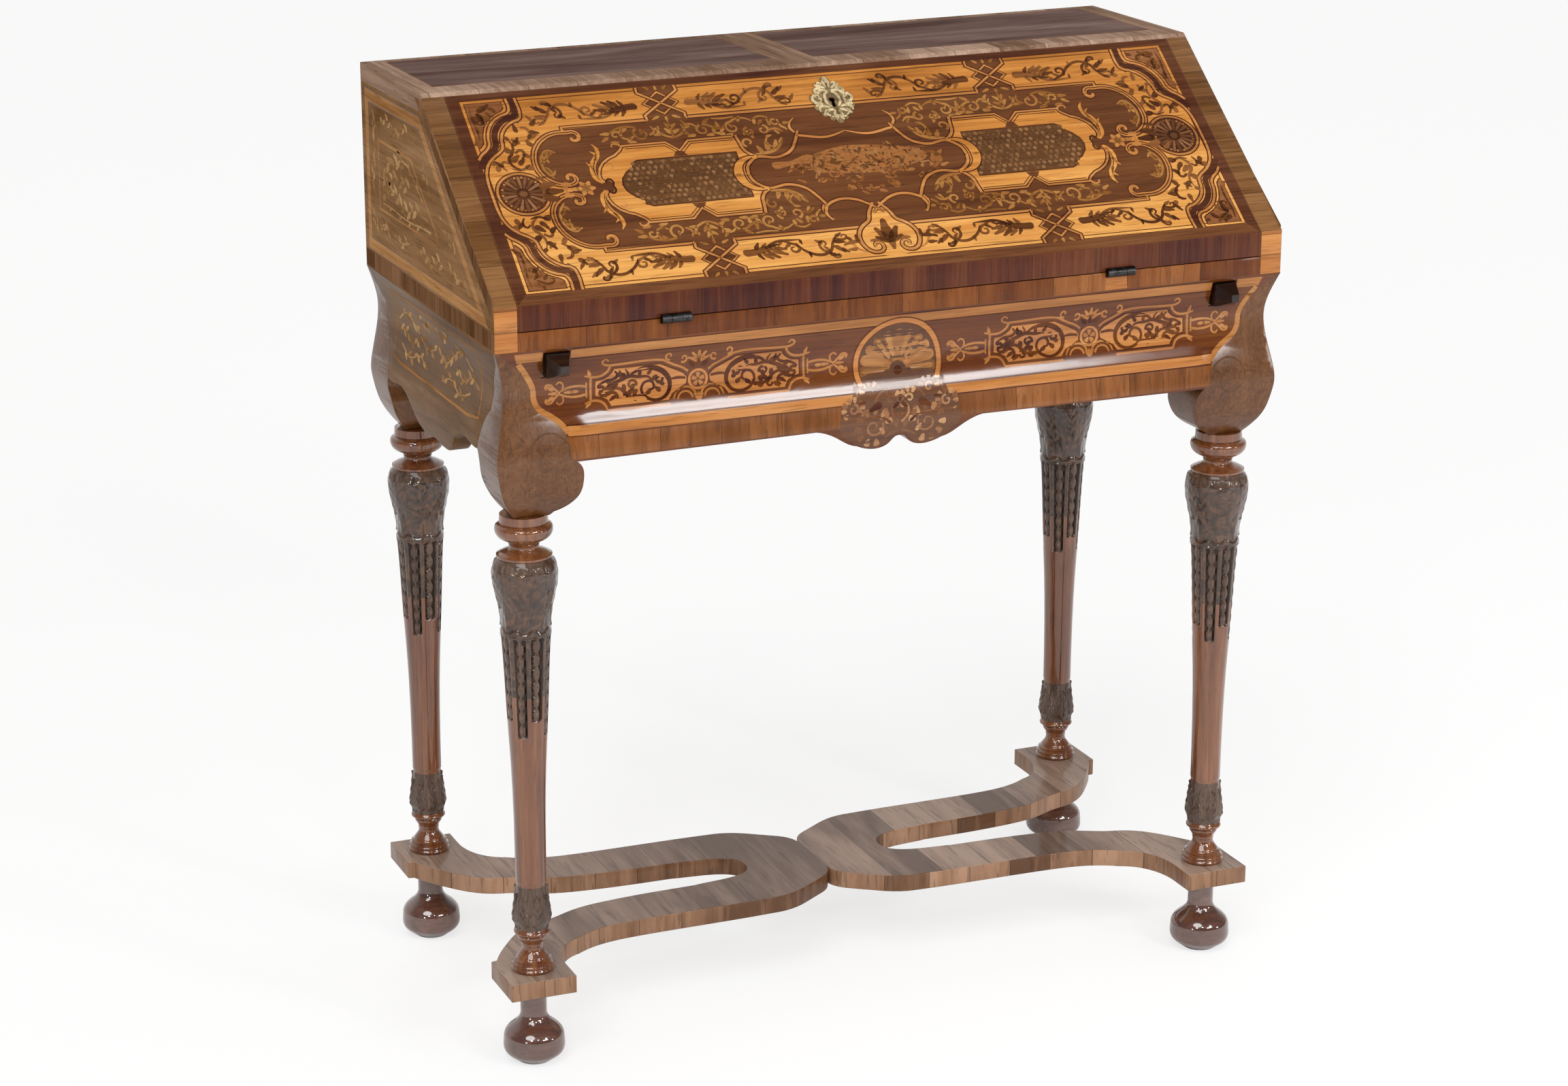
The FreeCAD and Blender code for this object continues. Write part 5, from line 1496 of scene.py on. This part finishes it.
block = [
    (11, 3), (16, 8), (24, 12), (33, 16), (40, 19.5), (88, 19.5), (90, 15.5), (94, 12), (99, 9.5),
    (107, 8.5), (107.5, -7), (100, -9), (95, -12), (91.5, -18.5), (31, -18.5), (27, -12.5), (19, -8),
    (12, -4)]
block_dark = [
    [(72, 9.5, 0.6), (64, 14.5, 1.1), (54, 16.4, 1.6), (43, 14.5, 1.8), (33, 7, 1.7), (29.5, -3, 1.4),
     (33, -12, 1.2), (41, -16.4), (50, -15.5), (57.5, -10), (59, -3, 0.9), (54, 2.5, 0.9),
     (47.5, 1, 0.9), (47, -5, 0.8), (51.5, -6, 0.6)],
    [(48, 3, 0.5), (52, 7, 0.8), (62, 8), (72, 9.5, 1.3), (82, 6, 1.3), (92, 3, 0.9), (97, -1, 0.5)],
    [(99, -2, 0.6), (93, -4), (85, -1), (76, -6), (70, -11, 0.9), (64, -13, 0.5)],
    [(101, 5, 0.8), (95, 7.5), (89, 8), (84, 12), (87, 16.5, 0.6)],
    [(101, 5, 0.8), (103.5, 2), (99, 1.5), (98.5, -1.5), (103, -3)],
    [(103, -3, 0.8), (101, -6.5), (95, -6.5), (88, -5), (84, -10), (87, -15, 0.6)],
    [(76, 17.5, 0.4), (73, 11, 0.9), (78, 7, 0.6)], [(13, 2, 0.8), (22, 3), (29.5, 2, 0.6)],
    spiral(69, 1, 5, 200, -1.0, 0.35), spiral(76, -12, 4.4, 60, 0.9, 0.35),
    spiral(65, -12, 3.6, 100, -0.9, 0.35), spiral(41, 3.5, 4.2, 160, 0.9, 0.35)]
block_leaves = leaves_from([
    (84, 5, -60, 10, 5.5, 0.3), (78, 2, -110, 10, 5.5, 0.3), (88, 3, -30, 11, 5.5, -0.3),
    (70, -4, -70, 9, 5, 0.3), (63, -5, -30, 9, 5.5, 0.4), (66, 1, -40, 9, 5, -0.4),
    (50, -6, -60, 8, 5, 0.4), (43, 8, -60, 9, 5.5, 0.3), (86, -8, -50, 8, 4.5, 0.3),
    (79, -12, -20, 8, 4.5, -0.3), (80, 9, 60, 8, 4.5, 0.3), (40, -9, 60, 8, 5, -0.3),
    (90, -1, 0, 10, 5, 0), (89, 3, 20, 9, 4, 0.2), (89, -4, -20, 9, 4, -0.2), (60, 9, 60, 7, 4.5, 0.4),
    (52, 9, 100, 7, 4.5, 0.4), (35, -2, 10, 8, 5, 0.4), (76, 9, 60, 8, 4.5, -0.4),
    (58, -11, -20, 8, 4.5, 0.4)])
corner_curl = [(92, 23, 0.9), (97, 24), (100.5, 27, 0.8), (97, 30, 0.7), (94, 27.5, 0.5)]
outline_pale = [
    [(10.5, 8.5), (16, 12.5), (25, 16.5), (32, 20), (38, 23), (92, 23)], corner_curl,
    spiral(31, 26.5, 4.6, 260, 0.9),
    spiral(16, 22.5, 4.6, -60, -0.9),
    [(92, 23), (93.5, 18.5), (97, 15), (101, 13), (110, 12.5), (118, 14.5, 0.6)],
    [(111.5, 12), (111.8, -10)], [(116, 8, 0.7), (116, -7, 0.7)],
    [(118, -13, 0.6), (110, -11), (101.5, -12.5), (97.5, -16), (95, -22, 0.8)],
    [(95, -21.8), (30, -21.8)],
    spiral(14, -19.5, 12.6, 168, -0.44, 1.0), spiral(14, -19.5, 8.2, 168, -0.44, 1.0),
    [(117, 4), (124, 5), (134, 4.5), (143, 1.5, 0.8)],
    [(117, -4), (124, -5), (134, -4.5), (143, -1.5, 0.8)],
    [(143, 0, 0.8), (149, 5, 0.9), (153, 9), (158, 8, 0.8), (157, 4.5, 0.6)],
    [(143, 0, 0.8), (149, -5, 0.9), (153, -9), (158, -8, 0.8), (157, -4.5, 0.6)],
    [(141, 2, 0.7), (140, 8, 0.8), (144, 11, 0.8), (147, 8.5, 0.6)],
    [(141, -2, 0.7), (140, -8, 0.8), (144, -11, 0.8), (147, -8.5, 0.6)]]
crest = [leaf((0, 17), a, n, w, b) for a, n, w, b in (
    (90, 13, 4.5, 0), (66, 13, 4.5, -0.2), (114, 13, 4.5, 0.2), (42, 13, 4.2, -0.3), (138, 13, 4.2, 0.3))]
flower_places = ((146, 0, 0), (150, 3, 35), (150, -3, -35), (130, 0, 0), (124, 0, 0))
flower = [leaf((x, z), angle, 9, 3.6) for x, z, angle in flower_places]
tips = [leaf((x, z), a, 8, 4, 0.2) for x, z, a in ((112, 13, 60), (112, -11, -60))]
palmette = [leaf((0, -21), a, 8, 3.4, 0) for a in (90, 55, 125)]
on_the_frieze("cartouche_ground", both_ends(panels(about_centre([block]), straight=True)), 0.14,
              "frieze_orange")
on_the_frieze("cartouche_edge", both_ends(bands(about_centre([block]), 1.6, True, True)), 0.18,
              "frieze_line")
dark_work = drawing(about_centre(block_dark), about_centre(block_leaves), 3.1)
on_the_frieze("cartouche_scrolls", both_ends(dark_work), 0.20, "frieze_line")
pale_shapes = about_centre(flower + tips) + [shifted(shape, centre_x, centre_z)
                                             for shape in crest + palmette]
pale_work = drawing(about_centre(outline_pale), pale_shapes, 2.4)
on_the_frieze("cartouche_strings", both_ends(pale_work), 0.18, "frieze_string")
boss_z = centre_z - 0.5
boss_ring = bands([dot(centre_x, boss_z, 9.2, 16)], 2.6, closed=True)
on_the_frieze("cartouche_boss", both_ends(boss_ring), 0.20, "frieze_orange")
boss_petals = petals(centre_x, boss_z, 5, 1.5, 6.8, 4.4, start=-18)
on_the_frieze("boss_petals", both_ends(filled(boss_petals)), 0.20, "frieze_string")
boss_leaves = leaves_from([(0, 13, 90, 8, 5, 0), (-4, 13, 140, 8, 5, 0), (4, 13, 40, 8, 5, 0)])
boss_leaves = [shifted(shape, centre_x, centre_z) for shape in boss_leaves]
on_the_frieze("boss_leaves", both_ends(filled(boss_leaves)), 0.22, "frieze_line")

# %% Shell roundel and pendant of the frieze
roundel_z, roundel_size = 703.0, 45.2
ring_turns = [radians(-24 + 228 * i / 20) for i in range(21)]
ring = [(roundel_size * cos(turn), roundel_z + roundel_size * sin(turn)) for turn in ring_turns]


def ring_at(share):
    """The arc of the ring drawn in or out from the middle of the roundel."""
    return [(x * share, roundel_z + (z - roundel_z) * share) for x, z in ring]


on_the_frieze("roundel_ground", panels([ring_at(0.97)]), 0.19, "olive_shell")
on_the_frieze("roundel_ring", bands([ring], 5.6), 0.22, "frieze_orange")
on_the_frieze("roundel_line", bands([ring_at(0.93), ring_at(1.07)], 1.3), 0.24, "frieze_line")
fan = petals(0, 697, 11, 9, 42, 10.5, start=-8, sweep=196)
fan_light = petals(0, 697, 11, 14, 39, 5.5, start=-8, sweep=196)
on_the_frieze("roundel_petals", filled(fan), 0.22, "olive_petal")
on_the_frieze("roundel_lights", filled(fan_light), 0.25, "shell_light")
on_the_frieze("roundel_foot", filled([dot(0, 696, 4.5)]), 0.27, "frieze_line")

pendant_ground = [
    (0, 632.5), (7, 630), (12, 626), (19, 621.5), (31, 619.8), (44, 624), (56, 631.5), (64, 637.5),
    (66, 648), (62, 660), (54, 668), (50, 680), (47, 690), (24, 692), (0, 692)]
on_the_frieze("pendant_ground", panels([both_sides(pendant_ground)]), 0.17, "olive_shell")
pendant_stems = [
    spiral(29, 642, 11, 130, 1.2), spiral(51, 662, 6, 100, 1.0), spiral(10, 668, 5, 160, -0.9),
    spiral(32, 677, 5, 40, 0.9),
    [(1, 637), (9, 634, 1.1), (17, 630, 0.9)], [(1, 645), (7, 650), (9, 658), (4, 665, 0.7)],
    [(3, 676, 0.8), (12, 679), (22, 675), (27, 668, 0.6)], [(38, 684, 0.8), (45, 680), (47, 672, 0.6)]]
pendant_leaves = petals(29, 642, 9, 13, 21, 7.0, start=-120, sweep=300)
pendant_leaves += petals(51, 662, 7, 7, 13, 5.0, start=-60, sweep=250)
pendant_leaves += petals(10, 668, 5, 6, 12, 5.0, start=40, sweep=200)
pendant_leaves += petals(32, 677, 5, 6, 12, 4.6, start=-10, sweep=190)
pendant_leaves += leaves_from([
    (14, 650, 70, 12, 6, 0.2), (4, 640, 60, 10, 5, 0.2), (17, 634, 40, 9, 5, 0.2),
    (40, 655, 40, 10, 5, 0.2)])
on_the_frieze("pendant_scrolls", both_ends(drawing(pendant_stems, pendant_leaves, 2.6)), 0.21,
              "pendant_light")
pendant_dark = leaves_from([
    (20, 666, -40, 15, 8, 0.2), (2, 665, -60, 8, 5, 0.3), (37, 668, -20, 9, 4, 0.3),
    (10, 645, 20, 8, 3.6, 0.3)])
on_the_frieze("pendant_darks", both_ends(filled(pendant_dark)), 0.24, "frieze_line")

volute = [[(346, 652, 0.6), (354, 664), (368, 672), (382, 668), (389, 655), (384, 641), (371, 636),
           (362, 644), (364, 655), (374, 657, 0.8), (378, 650, 0.6)],
          [(396, 735, 0.5), (403, 715), (404, 695), (398, 680), (388, 674, 0.6)]]
on_the_frieze("ear_volutes", both_ends(bands(volute, 2.0)), 0.17, "volute_line")
print("frieze")

# %% [markdown]
# The sides are quieter: a dark cross-grained border, a broad tan string in the shape of the
# panel, a fine inner string and light foliage. The top has two dark fields in a lighter
# cross-grained frame with a cross band between them.

# %% Sides and top
trapeze = [(-184, 778), (206, 778), (206, 948), (20, 948)]
trapeze_in = [(-152, 791), (194, 791), (194, 935), (23, 935)]
inner_trapeze = [(-32, 828), (162, 828), (162, 900), (54, 900), (-26, 840)]
front_mm, back_mm = front_y / mm, back_y / mm
base_strip = [(front_mm + 1, 758.5), (back_mm - 1, 758.5), (back_mm - 1, 776), (front_mm + 1, 776)]
edge_strip = [(front_mm + 3, 806), (17, 966), (33, 966), (front_mm + 3, 786)]
foliage_stems, foliage_leaves = fronds([
    ([(0, 846), (30, 850), (58, 844), (84, 846), (108, 856), (130, 852), (152, 842)], 14, 17, 1),
    ([(60, 890), (84, 892), (106, 884), (126, 882), (148, 868)], 11, 18, -1),
    ([(40, 872), (70, 868), (96, 872), (120, 866), (150, 860)], 12, 16, 1),
    ([(-10, 836), (20, 836), (50, 834), (84, 834), (120, 836), (150, 836)], 9, 11, 1),
    ([(-130, 798), (-108, 808), (-88, 806), (-66, 814)], 7, 14, 1),
    ([(-20, 870), (0, 884), (14, 900)], 4, 13, -1),
    ([(60, 812), (90, 806), (120, 812)], 5, 13, 1),
    ([(168, 800), (182, 812), (184, 828)], 5, 14, 1),
    ([(180, 928), (172, 916), (182, 902)], 4, 13, 1),
    ([(44, 920), (72, 927), (98, 916), (126, 926), (154, 918)], 11, 13, 1),
    ([(-58, 804), (-34, 813), (-8, 804), (18, 813), (44, 805)], 11, 13, -1),
    ([(130, 804), (146, 814), (162, 806)], 5, 13, 1),
    ([(-96, 824), (-74, 838), (-52, 854), (-40, 866)], 7, 13, 1),
    ([(176, 836), (184, 856), (176, 876), (184, 894)], 7, 12, -1),
    ([(14, 862), (30, 872), (46, 882), (60, 888)], 6, 13, -1)])
for side, sign in (("left", -1), ("right", 1)):
    place = flat_surface("X", sign * (half_width - hair), sign)

    def on_the_side(name, sheet, height, finish):
        return inlay("side_%s_%s" % (side, name), sheet, height, finish, place, "case")

    on_the_side("string", panels([trapeze, trapeze_in], straight=True), 0.07, "side_string")
    on_the_side("base", panels([base_strip], straight=True), 0.06, "side_border")
    on_the_side("edge", panels([edge_strip], straight=True), 0.05, "side_border")
    on_the_side("line", bands([inner_trapeze], 3.4, True, True), 0.07, "side_string")
    on_the_side("fine_lines", bands([trapeze, trapeze_in], 1.3, True, True), 0.09, "dark_line")
    on_the_side("stems", bands(foliage_stems, 2.6), 0.06, "side_foliage")
    for number in range(3):
        layer = filled(foliage_leaves[number::3])
        on_the_side("leaves_%d" % (number + 1), layer, 0.07 + 0.01 * number, "side_foliage")


side_ray_from, side_ray_length = 600 * mm, 300 * mm


def side_skin(node, sign):
    """A surface that finds the swelling side frieze from the left or the right."""
    skin = tree_of(node)

    def place(across, up, height):
        start = Vector((sign * side_ray_from, across, up))
        hit, normal, _, _ = skin.ray_cast(start, Vector((-sign, 0, 0)), side_ray_length)
        if hit is None:
            return Vector((sign * (half_width - hair), across, up))
        return hit + normal * height
    return place


frieze_stems, frieze_leaves = fronds([
    ([(-100, 716), (-70, 728), (-40, 716), (-14, 704), (8, 712)], 11, 15, 1),
    ([(140, 716), (108, 728), (76, 716), (44, 704), (14, 712)], 11, 15, -1),
    ([(-96, 692), (-66, 684), (-36, 692), (-8, 684)], 8, 13, -1),
    ([(128, 692), (98, 684), (66, 692), (38, 684)], 8, 13, 1),
    ([(-120, 702), (-98, 708), (-74, 700), (-50, 706)], 8, 13, 1),
    ([(144, 702), (122, 708), (98, 700), (74, 706)], 8, 13, -1),
    ([(-36, 737), (-12, 728), (8, 737)], 6, 12, 1),
    ([(68, 737), (44, 728), (24, 737)], 6, 12, -1)])
side_line = [[(-128, 744), (150, 744), (150, 676), (120, 672), (-96, 672), (-128, 676)]]
for side, sign in (("left", -1), ("right", 1)):
    skin = side_skin("side_frieze_" + side, sign)
    layers = [bands(frieze_stems, 2.4), filled(frieze_leaves[0::2]), filled(frieze_leaves[1::2])]
    for number, layer in enumerate(layers):
        name = "side_frieze_%s_foliage_%d" % (side, number + 1)
        inlay(name, layer, 0.12 + 0.02 * number, "side_foliage", skin, "case",
              side_frieze_cuts)
    line = bands(side_line, 3.0, True, True)
    inlay("side_frieze_%s_line" % side, line, 0.14, "side_string", skin, "case",
          side_frieze_cuts)

top_fields = [[(-401, 46), (-32, 46), (-32, 207), (-401, 207)],
              [(11, 46), (401, 46), (401, 207), (11, 207)]]


def on_the_top(name, sheet, height, finish):
    surface = flat_surface("Z", total_height - hair)
    return inlay("top_" + name, sheet, height, finish, surface, "case")


# The fields' purplish grey is partly their wood and partly a painted sheen.
on_the_top("fields", panels(top_fields, straight=True), 0.06, "top_field_and_sheen")
on_the_top("lines", bands(top_fields, 1.6, True, True), 0.09, "top_line")
print("sides and top")

# %% [markdown]
# The escutcheon is cast and chased: a lacy plate in the shape of a lozenge, with raised
# scrolls and leaves round the keyhole. The plate and the raised work are drawn as flat sheets
# like the inlays. Each is thickened, and its top is then inset and lifted, which gives it a
# chamfer all round.

# %% The escutcheon
def raised(sheet, base, rise, chamfer):
    """A flat sheet as a block from one height to another, with chamfered upper edges."""
    grown = bmesh.ops.extrude_face_region(sheet, geom=sheet.faces[:])
    above = [item for item in grown["geom"] if isinstance(item, bmesh.types.BMVert)]
    tops = [item for item in grown["geom"] if isinstance(item, bmesh.types.BMFace)]
    bmesh.ops.translate(sheet, verts=sheet.verts, vec=(0, 0, base * mm))
    bmesh.ops.translate(sheet, verts=above, vec=(0, 0, (rise - base - chamfer) * mm))
    bmesh.ops.inset_region(sheet, faces=tops, thickness=chamfer * mm, depth=chamfer * mm)
    for vertex in sheet.verts:
        vertex.co = on_fall(vertex.co.x, vertex.co.y, vertex.co.z)
    bmesh.ops.recalc_face_normals(sheet, faces=sheet.faces)
    return sheet


plate = [
    (0, 253.4), (3, 251.5), (5.5, 248.5), (5, 245), (9, 246), (12, 243), (11, 239), (15, 238.5),
    (17, 234.5), (15.5, 231), (20, 230.5), (23.4, 226), (22.6, 221), (19, 218.5), (22, 215), (21, 210),
    (16.5, 208.5), (17.5, 204), (14, 200.5), (10, 201.5), (10, 197), (6.5, 194.5), (4.5, 195.5),
    (3, 191.8), (0, 190.3)]
keyhole = [
    (-1.5, 212.3), (1.5, 212.3), (1.7, 219.2), (3.2, 221.4), (2.6, 224.3), (0, 225.6), (-2.6, 224.3),
    (-3.2, 221.4), (-1.7, 219.2)]
piece = new_piece(
    "escutcheon_plate", raised(panels([both_sides(plate), keyhole]), 0.1, 1.2, 0.3), ["gilding_ground"],
    "fall", 40)
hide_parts("escutcheon")
scrolls = [
    [(4, 212, 0.7), (7, 217), (7.5, 223), (6, 229), (2, 232, 0.8)],
    [(2, 233, 0.6), (8, 234), (13, 231), (15, 226), (12, 222, 0.7)],
    [(12, 222, 0.5), (15, 218), (20, 219), (21, 225, 0.9), (18, 228, 0.6)],
    [(3, 236, 0.6), (8, 240), (9, 244, 0.8), (5, 243, 0.5)],
    [(1.5, 238, 0.6), (2.5, 245), (1, 251, 0.4)],
    [(6, 211, 0.6), (12, 213), (17, 211, 0.9), (18, 206, 0.6)],
    [(3, 208, 0.7), (8, 207), (12, 203, 0.8), (9, 200, 0.5)], [(1.5, 207, 0.6), (4, 201), (3, 195, 0.5)],
    [(10, 236, 0.5), (14, 236), (15, 232.5, 0.6)], [(5.5, 198, 0.5), (8, 198.5, 0.6)]]
sprigs = leaves_from([
    (13, 225, 20, 8, 4, 0.2), (8, 236, 40, 8, 4, 0.2), (12, 217, -30, 9, 4, 0.2),
    (10, 208, -60, 8, 4, 0.2), (14, 229, 60, 7, 3.4, 0.2), (1, 201, -80, 8, 3.4, 0.2),
    (0.8, 244, 85, 8, 3.4, 0.2)])
raised_work = both_ends(drawing(scrolls, sprigs, 3.1))
new_piece("escutcheon_chasing", raised(raised_work, 1.0, 2.5, 0.35), ["pale_gilding"], "fall",
          40)
print("escutcheon")

# %% [markdown]
# Open, the desk shows plainer work: pale strings round each little drawer front, round the
# writing board and its sliding lid, and on the inner face of the fall. They are drawn like
# the others and ride on the piece that carries them. The rail under the fall has been mended
# with a small bit of paler wood.

# %% Strings inside
on_drawer = flat_surface("Y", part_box("drawer_front_1")[0].y, -1)
for number in (1, 2, 3, 4):
    low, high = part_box("drawer_front_%d" % number)
    face = [(low.x / mm, low.z / mm), (high.x / mm, high.z / mm)]
    frame_out = panels([rectangle(*face, 0.5), rectangle(*face, 7)], straight=True)
    body = "drawer_%d" % number
    inlay("drawer_band_%d" % number, frame_out, 0.05, "inner_band", on_drawer, body)
    line = bands([rectangle(*face, 7.6), rectangle(*face, 11)], 1.4, True, True)
    inlay("drawer_string_%d" % number, line, 0.08, "inner_string", on_drawer, body)


def on_inner_face(across, up, height):
    return on_fall(across, up, -fall_wood - height)


board_low, board_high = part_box("writing_board")
lid_low, lid_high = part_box("well_cover")
board_line = rectangle((board_low.x / mm, board_low.y / mm), (board_high.x / mm, 26.0), 14)
lid_line = rectangle((lid_low.x / mm, lid_low.y / mm), (lid_high.x / mm, lid_high.y / mm), 12)
inner_lines = [rectangle((-381, 30), (381, 236), margin) for margin in (0, 6)]
for name, lines, surface, body in (
        ("board_string", [board_line], flat_surface("Z", board_high.z), "case"),
        ("lid_string", [lid_line], flat_surface("Z", lid_high.z), "well_lid"),
        ("fall_inner_string", inner_lines, on_inner_face, "fall")):
    inlay(name, bands(lines, 2.0, True, True), 0.08, "inner_string", surface, body)
on_rail = flat_surface("Y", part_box("front_rail")[0].y, -1)
mend = [(224, 757.6), (249, 757.6), (248, 770), (225, 770)]
inlay("rail_mend", panels([mend], straight=True), 0.08, "front_banding", on_rail, "case")
print("strings inside")
